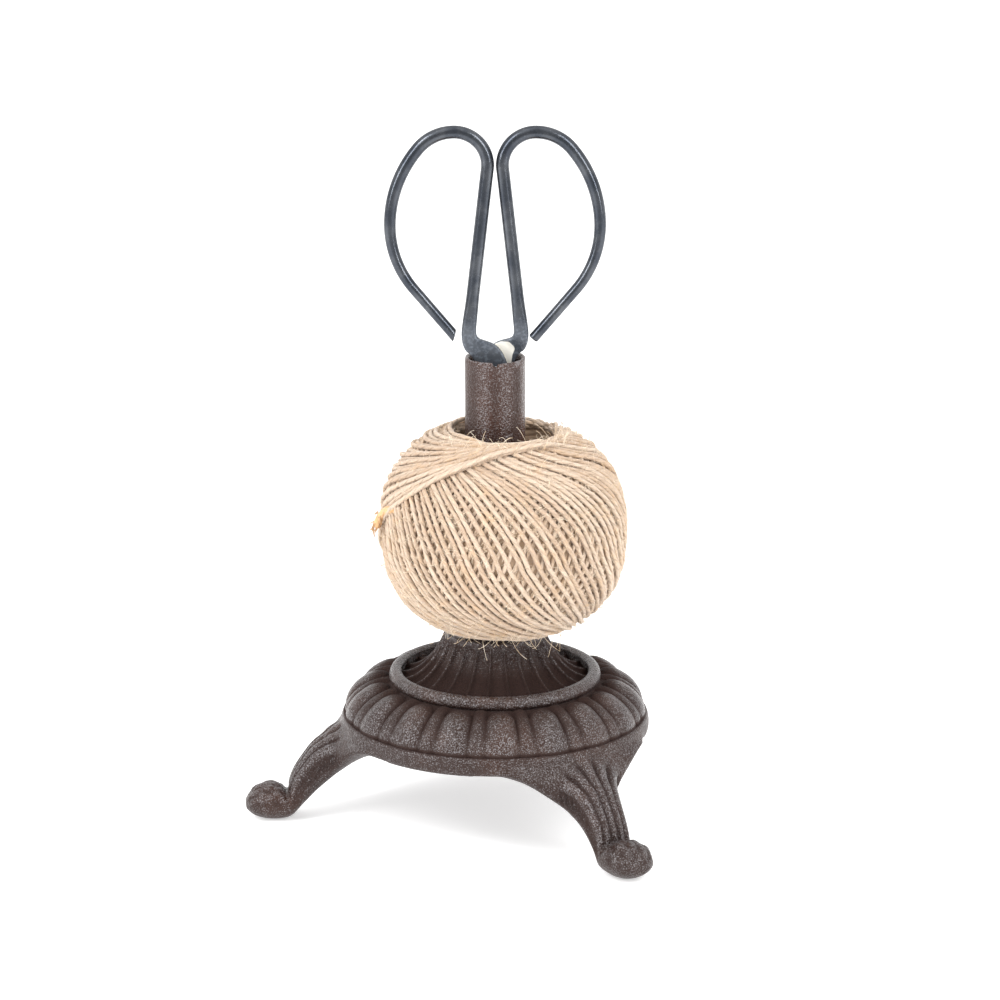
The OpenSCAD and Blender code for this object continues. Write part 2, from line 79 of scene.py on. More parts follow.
class Graph:
    """A shader or geometry node tree with short calls that add and link nodes."""

    def __init__(self, tree: bpy.types.NodeTree) -> None:
        """Keeps the tree that the calls build."""
        self.tree = tree

    def add(self, kind: str, inputs: dict[Any, Any] | None = None, **settings: Any) -> Node:
        """Adds one node.

        Args:
            kind: Blender's name for the node type.
            inputs: Values or sockets by input name or number.
            settings: Properties of the node itself.

        Returns:
            The new node.
        """
        node = self.tree.nodes.new(kind)
        for name, value in settings.items():
            setattr(node, name, value)
        for key, value in (inputs or {}).items():
            if isinstance(value, Socket):
                self.tree.links.new(value, node.inputs[key])
            else:
                node.inputs[key].default_value = value
        return node

    def out(self, kind: str, inputs: dict[Any, Any] | None = None, output: int | str = 0, **settings: Any) -> Socket:
        """Adds one node and returns one of its outputs, the first where no other is named."""
        return self.add(kind, inputs, **settings).outputs[output]

    def math(self, operation: str, *values: Any) -> Socket:
        """The result of a sum on one or two values."""
        return self.out("ShaderNodeMath", dict(enumerate(values)), operation=operation)

    def times(self, first: Any, second: Any) -> Socket:
        """The product of two values."""
        return self.math("MULTIPLY", first, second)

    def plus(self, first: Any, second: Any) -> Socket:
        """The sum of two values."""
        return self.math("ADD", first, second)

    def less(self, first: Any, second: Any) -> Socket:
        """The first value less the second."""
        return self.math("SUBTRACT", first, second)

    def vector(self, operation: str, first: Any, second: Any = (0.0, 0.0, 0.0), output: int = 0) -> Socket:
        """The result of a sum on one or two vectors."""
        return self.out("ShaderNodeVectorMath", {0: first, 1: second}, output, operation=operation)

    def parts(self, vector: Socket) -> Sequence[Socket]:
        """The three parts of a vector."""
        return self.add("ShaderNodeSeparateXYZ", {0: vector}).outputs

    def join(self, x: Any = 0.0, y: Any = 0.0, z: Any = 0.0) -> Socket:
        """A vector of three parts."""
        return self.out("ShaderNodeCombineXYZ", {0: x, 1: y, 2: z})

    def ramp(self, value: Socket, low: float, high: float) -> Socket:
        """Maps a value smoothly from 0 at low to 1 at high."""
        limits = {0: value, 1: low, 2: high, 3: 0.0, 4: 1.0}
        return self.out("ShaderNodeMapRange", limits, interpolation_type="SMOOTHSTEP")

    def mix(self, share: Any, first: Any, second: Any) -> Socket:
        """Mixes two colours by a share."""
        return self.out("ShaderNodeMix", {0: share, 6: first, 7: second}, 2, data_type="RGBA")

    def noise(self, vector: Socket, scale: float, detail: float = 2.0, roughness: float = 0.5,
              output: int | str = 0) -> Socket:
        """Noise over a vector, as a value about 0.5 or as a colour."""
        inputs = {"Vector": vector, "Scale": scale, "Detail": detail, "Roughness": roughness}
        return self.out("ShaderNodeTexNoise", inputs, output)

    def attribute(self, name: str, output: str = "Fac") -> Socket:
        """Reads an attribute of the piece's own mesh."""
        return self.out("ShaderNodeAttribute", None, output, attribute_name=name)

    def place(self) -> Socket:
        """The place on the piece, in metres."""
        return self.out("ShaderNodeTexCoord", None, "Object")

    def surface(self, colour: Socket, rough: Any, rest: dict[str, Any], height: Socket | None = None,
                strength: float = 0.0, depth_m: float = 0.0) -> Node:
        """Adds the shader of a surface.

        Args:
            colour: Base colour.
            rough: Roughness.
            rest: Other inputs by name.
            height: Height of the fine relief, if there is one.
            strength: Strength of the relief.
            depth_m: Depth of the relief, in metres.

        Returns:
            The shader's node.
        """
        inputs = {"Base Color": colour, "Roughness": rough, **rest}
        if height is not None:
            inputs["Normal"] = self.out(
                "ShaderNodeBump", {"Strength": strength, "Distance": depth_m, "Height": height})
        return self.add("ShaderNodeBsdfPrincipled", inputs)

    def keep(self, geometry: Socket, name: str, value: Socket, kind: str = "FLOAT", domain: str = "POINT") -> Socket:
        """Stores a value on a geometry as a named attribute and returns the geometry."""
        inputs = {"Geometry": geometry, "Name": name, "Value": value}
        return self.out("GeometryNodeStoreNamedAttribute", inputs, data_type=kind, domain=domain)

    def kept(self, name: str, kind: str = "FLOAT") -> Socket:
        """Reads a named attribute of the geometry."""
        return self.out("GeometryNodeInputNamedAttribute", {"Name": name}, data_type=kind)

    def chance(self, seed: Socket, limits: dict[Any, Any], kind: str = "FLOAT", output: int = 1) -> Socket:
        """A random value between limits, its own for each element."""
        return self.out("FunctionNodeRandomValue", {**limits, "Seed": seed}, output, data_type=kind)

    def wander(self, where: Socket, scale: float, reach: Socket) -> Socket:
        """A smooth random shift of up to half a reach each way."""
        shift = self.vector("SUBTRACT", self.noise(where, scale, 1.0, output="Color"), (0.5, 0.5, 0.5))
        return self.out("ShaderNodeVectorMath", {0: shift, "Scale": reach}, operation="SCALE")

    def ring(self, sides: int, radius: Socket) -> Socket:
        """A circle of some sides."""
        return self.out("GeometryNodeCurvePrimitiveCircle", {"Resolution": sides, "Radius": radius})

    def sweep(self, curve: Socket, ring: Socket) -> Socket:
        """The closed skin of a ring swept along curves."""
        return self.out("GeometryNodeCurveToMesh", {"Curve": curve, "Profile Curve": ring, "Fill Caps": True})


class Finish:
    """A finish that makes its material once and hands it out."""

    made: dict[str, bpy.types.Material] = {}
    name: str

    def material(self) -> bpy.types.Material:
        """Returns the finish's material, building it the first time."""
        if self.name not in Finish.made:
            material = bpy.data.materials.new(self.name)
            material.use_nodes = True
            material.node_tree.nodes.clear()
            g = Graph(material.node_tree)
            g.add("ShaderNodeOutputMaterial", {"Surface": self.shade(g).outputs[0]})
            Finish.made[self.name] = material
        return Finish.made[self.name]

    def shade(self, g: Graph) -> Node:
        """Builds the shader of the finish.

        Args:
            g: The material's graph.

        Returns:
            The shader's node.
        """
        raise NotImplementedError


@dataclass(frozen=True)
class SandCastIron(Finish):
    """Dark brown lacquer over sand-cast iron: gritty, with painted highlights (grey glint specks) on the raised grains
    and painted shade in the hollows.
    """

    name: str = "sand_cast_iron"
    brown: Colour = (0.026, 0.0138, 0.0108, 1.0)
    rust: Colour = (0.039, 0.0185, 0.0128, 1.0)
    # Painted shade: the dark brown laid into grooves, hollows and creases where the crest map is low.
    painted_hollow_shade: Colour = (0.023, 0.0106, 0.0081, 1.0)
    # Painted highlights: the grey of the glint specks and their greatest share.
    painted_glint_grey: Colour = (0.225, 0.213, 0.220, 1.0)
    painted_glint_share: float = 0.62
    grain_per_m: float = 1500.0
    patch_per_m: float = 60.0
    bump_m: float = 0.00040
    matt: float = 0.28

    def shade(self, g: Graph) -> Node:
        """Builds the gritty lacquer."""
        place = g.place()
        grit = g.noise(place, self.grain_per_m * 1.5, 1.0, 0.6)
        grain = g.noise(place, self.grain_per_m, 0.0)
        coarse = g.noise(place, self.grain_per_m * 0.3, 1.0)
        patch = g.noise(place, self.patch_per_m, 3.0)
        crest = g.attribute("crest")
        base = g.mix(g.ramp(patch, 0.42, 0.68), self.brown, self.rust)
        # Painted shade: where the crest map is low, the lacquer is mixed towards a darker brown.
        base = g.mix(g.ramp(crest, 0.05, 0.85), self.painted_hollow_shade, base)
        lit = g.ramp(crest, 0.12, 0.7)
        # Painted highlights: grey specks on raised grains stand in for glints, with more of them where the crest map is
        # high.
        shown = g.plus(g.times(crest, 0.15), g.times(coarse, 0.12))
        high = g.ramp(g.plus(grit, shown), 0.67, 0.84)
        colour = g.mix(g.times(g.times(high, lit), self.painted_glint_share), base, self.painted_glint_grey)
        rough = g.plus(self.matt, g.times(g.less(1.0, lit), 0.6))
        rough = g.less(rough, g.times(high, 0.08))
        height = g.plus(grain, g.times(coarse, 0.6))
        return g.surface(colour, rough, {"Metallic": 0.08, "Specular IOR Level": 0.28}, height, 0.9, self.bump_m)


@dataclass(frozen=True)
class BluedSteel(Finish):
    """Blue-black forged steel with a satin skin, and bright ground steel where the blades meet."""

    name: str = "blued_steel"
    blue: Colour = (0.042, 0.048, 0.060, 1.0)
    grey: Colour = (0.088, 0.094, 0.105, 1.0)
    fleck: Colour = (0.22, 0.23, 0.24, 1.0)
    forged: Colour = (0.135, 0.155, 0.185, 1.0)
    bright: Colour = (0.74, 0.715, 0.65, 1.0)
    grain_per_m: float = 900.0
    patch_per_m: float = 110.0
    bump_m: float = 0.00006
    rod_above_m: Pair = (0.182, 0.192)
    rod_aside_m: Pair = (0.0125, 0.0140)

    def shade(self, g: Graph) -> Node:
        """Builds the satin skin of the rods, the duller forged part and the ground faces."""
        place = g.place()
        grain = g.noise(place, self.grain_per_m, 3.0, 0.6)
        patch = g.noise(place, self.patch_per_m, 4.0, 0.6)
        ground = g.ramp(g.attribute("ground"), -0.12, 0.12)
        skin = g.mix(g.ramp(patch, 0.35, 0.7), self.blue, self.grey)
        skin = g.mix(g.times(g.ramp(grain, 0.6, 0.75), 0.35), skin, self.fleck)
        x, _, z = g.parts(place)
        rod = g.math("MAXIMUM", g.ramp(z, *self.rod_above_m), g.ramp(g.math("ABSOLUTE", x), *self.rod_aside_m))
        dull = g.less(1.0, rod)
        speck = g.times(g.plus(0.25, g.ramp(grain, 0.45, 0.65)), dull)
        skin = g.mix(g.times(speck, 0.6), skin, self.forged)
        colour = g.mix(ground, skin, self.bright)
        rough = g.plus(0.15, g.times(g.plus(grain, dull), 0.16))
        metal = g.less(0.85, g.plus(g.times(ground, 0.3), g.times(dull, 0.4)))
        return g.surface(colour, rough, {"Metallic": metal}, grain, 0.45, self.bump_m)


@dataclass(frozen=True)
class PlainSteel(Finish):
    """Plain satin steel of the hidden fixings, with fine turning marks and dull patches."""

    name: str = "plain_steel"
    steel: Colour = (0.46, 0.46, 0.47, 1.0)
    dull: Colour = (0.27, 0.26, 0.25, 1.0)
    patch_per_m: float = 260.0
    marks_per_m: float = 900.0
    bump_m: float = 0.00003

    def shade(self, g: Graph) -> Node:
        """Builds the satin steel."""
        place = g.place()
        patch = g.noise(place, self.patch_per_m, 4.0, 0.6)
        rings = g.out("ShaderNodeMapping", {"Vector": place, "Scale": (0.2, 0.2, 6.0)})
        marks = g.noise(rings, self.marks_per_m, 1.0)
        colour = g.mix(g.ramp(patch, 0.45, 0.72), self.steel, self.dull)
        rough = g.plus(0.24, g.times(patch, 0.25))
        return g.surface(colour, rough, {"Metallic": 1.0}, marks, 0.25, self.bump_m)


@dataclass(frozen=True)
class JuteTwine(Finish):
    """Pale tan two-ply jute: spiral plies, streaky fibres, a strand-to-strand change of tone, and painted shade in the
    ply creases, on inward flanks and under other layers.
    """

    name: str = "jute_twine"
    pale: Colour = (0.575, 0.455, 0.35, 1.0)
    tan: Colour = (0.475, 0.345, 0.245, 1.0)
    # Painted shade: the brown laid into ply creases, onto flanks that face into the ball and onto layers that lie under
    # others.
    painted_ply_shade: Colour = (0.29, 0.195, 0.125, 1.0)
    warm: Colour = (0.60, 0.40, 0.235, 1.0)
    fibre: Colour = (0.78, 0.685, 0.56, 1.0)
    warm_per_m: float = 140.0
    fleck_per_m: float = 1300.0
    ply_pitch_m: float = 0.0052
    fibre_per_m: float = 420.0
    bump_m: float = 0.00035

    def shade(self, g: Graph) -> Node:
        """Builds the twine from the strand attribute: length along, and cosine and sine round the strand."""
        along, cosine, sine = g.parts(g.attribute("strand", "Vector"))
        shade = g.attribute("shade")
        twist = g.times(along, TAU / self.ply_pitch_m)
        angle = g.plus(g.math("ARCTAN2", sine, cosine), g.times(twist, 0.5))
        ply = g.math("ABSOLUTE", g.math("SINE", angle))
        streak = g.noise(g.join(
            g.times(along, self.fibre_per_m), g.plus(g.times(cosine, 2.6), g.times(shade, 37.0)), g.times(sine, 2.6),
        ), 1.0, 4.0, 0.65)
        tone = g.plus(g.times(streak, 0.75), g.times(shade, 0.35))
        colour = g.mix(g.ramp(tone, 0.36, 0.72), self.tan, self.pale)
        warm = g.ramp(g.noise(g.place(), self.warm_per_m), 0.54, 0.72)
        fleck = g.ramp(g.noise(g.place(), self.fleck_per_m), 0.56, 0.74)
        # Painted shade: the creases between plies, the strands' flanks that face sideways or into the ball, and the
        # layers under others (the depth attribute) are mixed towards a dark brown.
        groove = g.less(1.0, g.ramp(ply, 0.0, 0.30))
        flank = g.less(1.0, g.ramp(g.attribute("outward"), 0.0, 0.75))
        for share, part, other in ((0.4, warm, self.warm), (0.22, groove, self.painted_ply_shade), (0.4, fleck, self.fibre),
                                   (1.0, g.attribute("depth"), self.painted_ply_shade), (0.24, flank, self.painted_ply_shade)):
            colour = g.mix(g.times(part, share), colour, other)
        height = g.plus(g.ramp(ply, 0.0, 0.75), g.times(streak, 0.55))
        rest = {"Specular IOR Level": 0.2, "Sheen Weight": 0.25}
        return g.surface(colour, 0.86, rest, height, 0.85, self.bump_m)


@dataclass(frozen=True)
class LooseFibre(Finish):
    """The fine pale hairs that stand off the twine."""

    name: str = "loose_fibre"
    pale: Colour = (0.86, 0.75, 0.60, 1.0)
    tan: Colour = (0.68, 0.50, 0.32, 1.0)
    change_per_m: float = 160.0

    def shade(self, g: Graph) -> Node:
        """Builds the hair's colour, which changes from hair to hair."""
        tone = g.noise(g.place(), self.change_per_m, 1.0)
        colour = g.mix(g.ramp(tone, 0.35, 0.65), self.tan, self.pale)
        return g.surface(colour, 0.6, {"Specular IOR Level": 0.3})


@dataclass(frozen=True)
class WhitePaper(Finish):
    """The pale floor: a sheet lit a little from below, which darkens far in front of the picture."""

    name: str = "white_paper"
    light: Colour = (0.93, 0.93, 0.93, 1.0)
    cloudy: Colour = (0.90, 0.90, 0.90, 1.0)
    far: Colour = (0.55, 0.55, 0.55, 1.0)
    far_m: Pair = (-0.80, -0.42)
    glow: float = 0.4

    def shade(self, g: Graph) -> Node:
        """Builds a white sheet with a hardly visible cloudiness."""
        place = g.place()
        near = g.ramp(g.parts(place)[1], *self.far_m)
        colour = g.mix(near, self.far, g.mix(g.noise(place, 3.0), self.cloudy, self.light))
        return g.surface(colour, 0.9, {"Emission Color": WHITE, "Emission Strength": g.times(near, self.glow)})


IRON = SandCastIron()
LACQUER = SandCastIron("tube_lacquer", (0.050, 0.0265, 0.0205, 1.0), (0.068, 0.0315, 0.022, 1.0), matt=0.22)
GUNMETAL = BluedSteel()
STEEL = PlainSteel()
JUTE = JuteTwine()
FRAYED = JuteTwine("frayed_twine", (0.74, 0.46, 0.24, 1.0), (0.60, 0.34, 0.155, 1.0), (0.30, 0.14, 0.06, 1.0))
FIBRE = LooseFibre()


def grid_faces(rows: int, columns: int, wrap_rows: bool = False, wrap_columns: bool = True) -> Array:
    """Quads between the rows and columns of a grid of points.

    Args:
        rows: Number of rows.
        columns: Number of points in a row.
        wrap_rows: Whether the last row joins the first.
        wrap_columns: Whether the last column joins the first.

    Returns:
        Point numbers of each quad.
    """
    i = np.arange(rows if wrap_rows else rows - 1)[:, None]
    j = np.arange(columns if wrap_columns else columns - 1)[None, :]
    up, along = (i + 1) % rows, (j + 1) % columns
    corners = [i * columns + j, i * columns + along, up * columns + along, up * columns + j]
    return np.stack([np.broadcast_to(c, (i.size, j.size)) for c in corners], -1).reshape(-1, 4)


def rod_faces(rows: int, columns: int, first: int = 0) -> list[list[int]]:
    """Faces of a skin through rings of points, closed at both ends.

    Args:
        rows: Number of rings.
        columns: Number of points in a ring.
        first: Number of the first point.

    Returns:
        Point numbers of each face.
    """
    last = first + (rows - 1) * columns
    ends = [list(range(first + columns - 1, first - 1, -1)), list(range(last, last + columns))]
    return (grid_faces(rows, columns) + first).tolist() + ends


def circle(count: int) -> Array:
    """Angles of evenly spaced places round a circle."""
    return np.linspace(0.0, TAU, count, endpoint=False)


def turned(radius: Array, angle: Array, height: Array) -> Array:
    """Points from radius, angle and height, row by row."""
    rows = np.broadcast_arrays(radius * np.cos(angle), radius * np.sin(angle), height)
    return np.stack(rows, -1).reshape(-1, 3)


def power(value: Array, exponent: Array | float) -> Array:
    """A power of a value's size, with the value's sign."""
    return np.sign(value) * np.abs(value) ** exponent


def bell(value: Array, middle: float, width: float) -> Array:
    """A smooth bump of height 1 at the middle that falls off over a width."""
    return np.exp(-(((value - middle) / width) ** 2))


def step(value: Array | float, low: float, high: float) -> Array:
    """A smooth rise from 0 at low to 1 at high."""
    t = np.clip((value - low) / (high - low), 0.0, 1.0)
    return t * t * (3.0 - 2.0 * t)


def off_angle(angle: Array, middle: Array | float) -> Array:
    """The smaller angle between an angle and a middle."""
    return np.abs((angle - middle + math.pi) % TAU - math.pi)


def curve_through(controls: Sequence[Sequence[float]], steps: int) -> Array:
    """Points on a smooth curve through controls.

    Args:
        controls: Values at the controls, one row each.
        steps: Number of steps from one control to the next.

    Returns:
        The values along the curve, ends included.
    """
    knots = np.array(controls)
    padded = np.vstack([2 * knots[0] - knots[1], knots, 2 * knots[-1] - knots[-2]])
    t = np.linspace(0.0, 1.0, steps, endpoint=False)[:, None]
    spans = []
    for k in range(len(knots) - 1):
        a, b, c, d = padded[k:k + 4]
        spans.append(b + 0.5 * t * (c - a + t * (2 * a - 5 * b + 4 * c - d + t * (3 * (b - c) + d - a))))
    return np.vstack(spans + [knots[-1:]])


def put(name: str, data: Any) -> Piece:
    """Makes an object of some data and links it to the scene."""
    thing = bpy.data.objects.new(name, data)
    bpy.context.scene.collection.objects.link(thing)
    return thing


def aim_at(thing: Piece, way: Vector) -> None:
    """Turns a camera or a light to look along a direction."""
    thing.rotation_mode = "QUATERNION"
    thing.rotation_quaternion = way.to_track_quat("-Z", "Y")


def mesh_piece(name: str, points: Array, faces: Sequence[Sequence[int]], smooth: bool = True) -> Piece:
    """Makes a mesh object from points in millimetres.

    Args:
        name: Name of the piece.
        points: Points in the shared frame, in millimetres.
        faces: Point numbers of each face.
        smooth: Whether faces are shaded smooth.

    Returns:
        The object, linked to the scene.
    """
    mesh = bpy.data.meshes.new(name)
    mesh.from_pydata((np.asarray(points) * MM).tolist(), [], [list(map(int, f)) for f in faces])
    mesh.polygons.foreach_set("use_smooth", np.full(len(mesh.polygons), smooth))
    mesh.update()
    return put(name, mesh)


def settle(piece: Piece) -> Piece:
    """Turns a piece with live modifiers into a plain mesh.

    Args:
        piece: The piece.

    Returns:
        The same piece.
    """
    bpy.context.view_layer.update()
    graph = bpy.context.evaluated_depsgraph_get()
    old, mesh = piece.data, bpy.data.meshes.new_from_object(piece.evaluated_get(graph), depsgraph=graph)
    piece.modifiers.clear()
    piece.data = mesh
    bpy.data.meshes.remove(old)
    return piece


def ease(piece: Piece, rounds: int, group: str = "") -> None:
    """Adds a smoothing of some rounds to a piece, over a group of its points or all of them."""
    smooth = piece.modifiers.new("ease", "SMOOTH")
    smooth.factor, smooth.iterations, smooth.vertex_group = 0.5, rounds, group


def per_point(piece: Piece, what: str) -> Array:
    """Reads three numbers for each point of a piece.

    Args:
        piece: The piece.
        what: Its points' places in metres, "co", or their directions, "normal".

    Returns:
        One row for each point.
    """
    values = np.empty(len(piece.data.vertices) * 3)
    piece.data.vertices.foreach_get(what, values)
    return values.reshape(-1, 3)


def store(piece: Piece, name: str, values: Array) -> None:
    """Stores one number for each point of a piece as an attribute."""
    layer = piece.data.attributes.new(name, "FLOAT", "POINT")
    layer.data.foreach_set("value", np.asarray(values, np.float32).ravel())


def new_tree(name: str, source: str, inputs: dict[str, str]) -> Graph:
    """Starts a geometry node tree.

    Args:
        name: Name of the tree.
        source: Name of its geometry input.
        inputs: Kinds of its other inputs by name.

    Returns:
        The graph of the tree.
    """
    tree = bpy.data.node_groups.new(name, "GeometryNodeTree")
    tree.interface.new_socket("Geometry", in_out="OUTPUT", socket_type="NodeSocketGeometry")
    for label, kind in {source: "Geometry", **inputs}.items():
        tree.interface.new_socket(label, in_out="INPUT", socket_type="NodeSocket" + kind)
    return Graph(tree)


def set_tree(piece: Piece, tree: bpy.types.NodeTree, values: dict[str, Any]) -> Piece:
    """Puts a node tree on a piece and settles the piece.

    Args:
        piece: The piece.
        tree: The tree.
        values: Values of the tree's inputs by name.

    Returns:
        The same piece.
    """
    modifier = piece.modifiers.new(tree.name, "NODES")
    modifier.node_group = tree
    for item in tree.interface.items_tree:
        if item.in_out == "INPUT" and item.name in values:
            modifier[item.identifier] = values[item.name]
    return settle(piece)


def dress(piece: Piece, finish: Finish, body: Body, slot: Slot, *nodes: str) -> None:
    """Gives a piece its finish, its body and the frame nodes that it stands for.

    Args:
        piece: The finished piece.
        finish: Its finish.
        body: The body that it rides on.
        slot: The record's material slot; not used.
        nodes: Frame nodes that the piece replaces.
    """
    piece.data.materials.clear()
    piece.data.materials.append(finish.material())
    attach(piece, body.value)
    if nodes:
        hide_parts(*nodes)
    LOG.info("%s: %d faces on %s", piece.name, len(piece.data.polygons), body.value)


@dataclass
class CastBase:
    """The casting: fluted neck, ring bead, lobed shoulder, plain rim band and three curled legs. Millimetres."""

    rim_r: float = 57.0
    rim_low: float = 32.5
    rim_top: float = 39.7
    rim_wall: float = 4.5
    rim_columns: int = 240
    groove_r: float = 54.5
    dome_in: float = 38.5
    dome_w: float = 16.0
    dome_h: float = 14.0
    ring_r: float = 36.6
    ring_z: float = 54.2
    bead_r: float = 2.4
    neck_r: float = 18.5
    neck_top: float = 71.0
    neck_sweep: float = math.radians(45.0)
    neck_rows: int = 44
    bead_span: Pair = (150.0, -62.0)
    bead_rows: int = 28
    dome_span: Pair = (84.0, 0.0)
    dome_rows: int = 64
    pad_end: float = 57.0
    pad_end_w: float = 26.0
    seat_r: float = 11.08
    seat_low: float = 58.0
    boss_r: float = 13.0
    boss_low: float = 48.0
    bolt_hole_r: float = 3.3
    hollow_out: Sequence[Pair] = ((49.6, 44.0), (46.5, 47.2), (42.0, 48.8))
    hollow_top: float = 49.4
    hollow_in: Sequence[Pair] = ((26.3, 50.8), (20.0, 57.3))
    lobes: int = 18
    lobe_h: float = 2.7
    rib_edge: float = 0.335
    rib_share: float = 0.66
    turn: float = math.radians(-87.3)
    flutes: int = 24
    flute_h: float = 2.6
    flute_scoop: float = 0.42
    crest: float = 1.6
    columns: int = 576
    leg_turns: Triple = (64.3, 184.3, 304.3)
    leg_steps: int = 6
    leg_sides: int = 64
    voxel: float = 0.62
    melt_rounds: int = 10
    fillet_rounds: int = 26
    fillet_r: float = 48.0
    fillet_span: Pair = (9.0, 38.0)
    ribs: float = 2.5
    leaf_r: float = 54.0
    leaf_half_w: float = 24.0
    leaf_tip: float = 2.7
    leaf_end: Pair = (8.0, 8.9)
    toe_start: Pair = (9.3, 9.9)
    toe_end: Pair = (11.9, 12.7)
    leg_sections: Sequence[Sequence[float]] = (
        (44.0, 38.0, 44.0, 27.0, 36.0, 1.80),
        (50.0, 38.6, 49.6, 22.6, 33.0, 1.75),
        (55.6, 37.4, 54.4, 20.2, 25.0, 1.45),
        (59.6, 34.2, 58.2, 18.2, 15.5, 1.05),
        (63.6, 31.0, 61.4, 15.4, 11.0, 0.85),
        (67.9, 27.6, 64.4, 12.6, 8.9, 0.78),
        (71.6, 22.8, 67.4, 9.8, 8.0, 0.76),
        (74.6, 18.2, 69.8, 7.2, 7.6, 0.76),
        (76.5, 13.4, 72.4, 4.6, 7.5, 0.78),
        (77.4, 9.6, 75.4, 1.4, 7.8, 0.85),
        (80.6, 12.4, 78.6, -0.2, 8.5, 0.95),
        (86.0, 12.9, 84.2, -0.4, 8.8, 1.00),
        (90.8, 10.0, 89.4, 0.9, 7.4, 1.00),
        (93.3, 6.6, 92.8, 3.2, 3.4, 1.00),
    )

    def share(self, angle: Array, count: int) -> Array:
        """How far an angle is from the nearest repeat of a pattern, from 0 at its middle to 0.5 between two."""
        turns = (angle - self.turn) * count / TAU
        return np.abs(turns - np.round(turns))

    def lobe_wave(self, angle: Array, end: Array) -> Array:
        """Height of the wide pads and narrow ribs round the shoulder.

        Args:
            angle: Angle round the post.
            end: How far a row is into a pad's rounded end, 0 at its start and 1 past it.

        Returns:
            Height from 0 in the grooves to 1 on a pad.
        """
        u = self.share(angle, self.lobes)
        wide = np.sqrt(np.clip(1.0 - (u / self.rib_edge) ** 2 - end ** 2, 0.0, 1.0))
        rib = np.sqrt(np.clip(1.0 - ((0.5 - u) / (0.5 - self.rib_edge)) ** 2, 0.0, 1.0))
        return np.where(u < self.rib_edge, wide, self.rib_share * rib)

    def flute_wave(self, angle: Array) -> Array:
        """Height of the sharp ridges round the neck, over scooped hollows."""
        u = 2.0 * self.share(angle, self.flutes)
        return self.flute_scoop * u ** 2 + (1.0 - self.flute_scoop) * u ** 7

    def outer_rows(self) -> Array:
        """Rows of the outer skin at its crests, from the tube's seat out to the rim.

        Returns:
            Radius, height, outward direction, pad depth, flute depth and pad end of each row.
        """
        foot, sweep = self.ring_r - self.bead_r + 0.8, self.neck_sweep
        rows = [(r, self.neck_top, 0.0, 1.0, 0.0, 0.0, 0.0) for r in np.linspace(self.seat_r, self.neck_r - 0.6, 4)]
        for a in np.linspace(sweep, 0.0, self.neck_rows):
            r = foot - (foot - self.neck_r) * math.sin(a) / math.sin(sweep)
            z = self.ring_z + (self.neck_top - self.ring_z) * (1 - math.cos(a)) / (1 - math.cos(sweep))
            lean = math.hypot(math.sin(a), math.cos(a) / 2)
            depth = self.flute_h * step(self.neck_top - z, -0.5, 4.5)
            rows.append((r, z, math.sin(a) / lean, math.cos(a) / 2 / lean, 0.0, depth, 0.0))
        for a in np.radians(np.linspace(*self.bead_span, self.bead_rows)):
            bead = self.bead_r * (1.0 + 0.2 * step(-a, -0.3, 0.7))
            rows.append((self.ring_r + bead * math.cos(a), self.ring_z + bead * math.sin(a),
                         math.cos(a), math.sin(a), 0.0, 0.0, 0.0))
        for a in np.radians(np.linspace(*self.dome_span, self.dome_rows)):
            degrees = math.degrees(a)
            end = max(0.0, (degrees - self.pad_end) / self.pad_end_w)
            depth = self.lobe_h * (1.0 - 0.3 * step(degrees, 70.0, 86.0) - 0.62 * (1.0 - step(degrees, -6.0, 50.0)))
            r = self.dome_in + (self.dome_w + self.crest) * math.cos(a) ** 1.12
            z = self.rim_top + (self.dome_h + 0.3) * math.sin(a) - 0.6 * bell(r, 39.8, 2.0)
            rows.append((r, z, math.cos(a), math.sin(a), depth, 0.0, min(end, 1.0)))
        return np.array(rows)

    def inner_rows(self) -> Array:
        """Rows of the hollow underside, the boss, the bolt hole and the tube's seat, with no relief.

        Returns:
            The same seven numbers of each row.
        """
        inner = self.rim_r - self.rim_wall
        profile = [
            (self.groove_r - 0.4, self.rim_top - 1.2), (inner, self.rim_top - 1.4), (inner - 0.3, self.rim_top - 0.2),
            *self.hollow_out, (self.ring_r, self.hollow_top), *self.hollow_in,
            (self.boss_r + 0.8, 57.5), (self.boss_r, 56.8), (self.boss_r, self.boss_low + 0.6),
            (self.boss_r - 0.6, self.boss_low), (self.bolt_hole_r + 0.3, self.boss_low),
            (self.bolt_hole_r, self.boss_low + 0.3), (self.bolt_hole_r, self.seat_low),
            (self.seat_r, self.seat_low), (self.seat_r, self.neck_top - 0.3),
        ]
        return np.pad(np.array(profile), ((0, 0), (0, 5)))

    def upper(self) -> Piece:
        """Builds neck, bead and shoulder as one turned and patterned shell.

        Returns:
            The shell.
        """
        rows = np.vstack([self.outer_rows(), self.inner_rows()])
        angle = circle(self.columns)[None, :]
        r, z, out, up, lobe, flute, end = (rows[:, k:k + 1] for k in range(7))
        wave = lobe * (self.lobe_wave(angle, end) - 1.0) + flute * (self.flute_wave(angle) - 1.0)
        points = turned(r + out * wave, angle, z + up * wave)
        piece = mesh_piece("cast_shoulder", points, grid_faces(len(rows), self.columns, True)[:, ::-1])
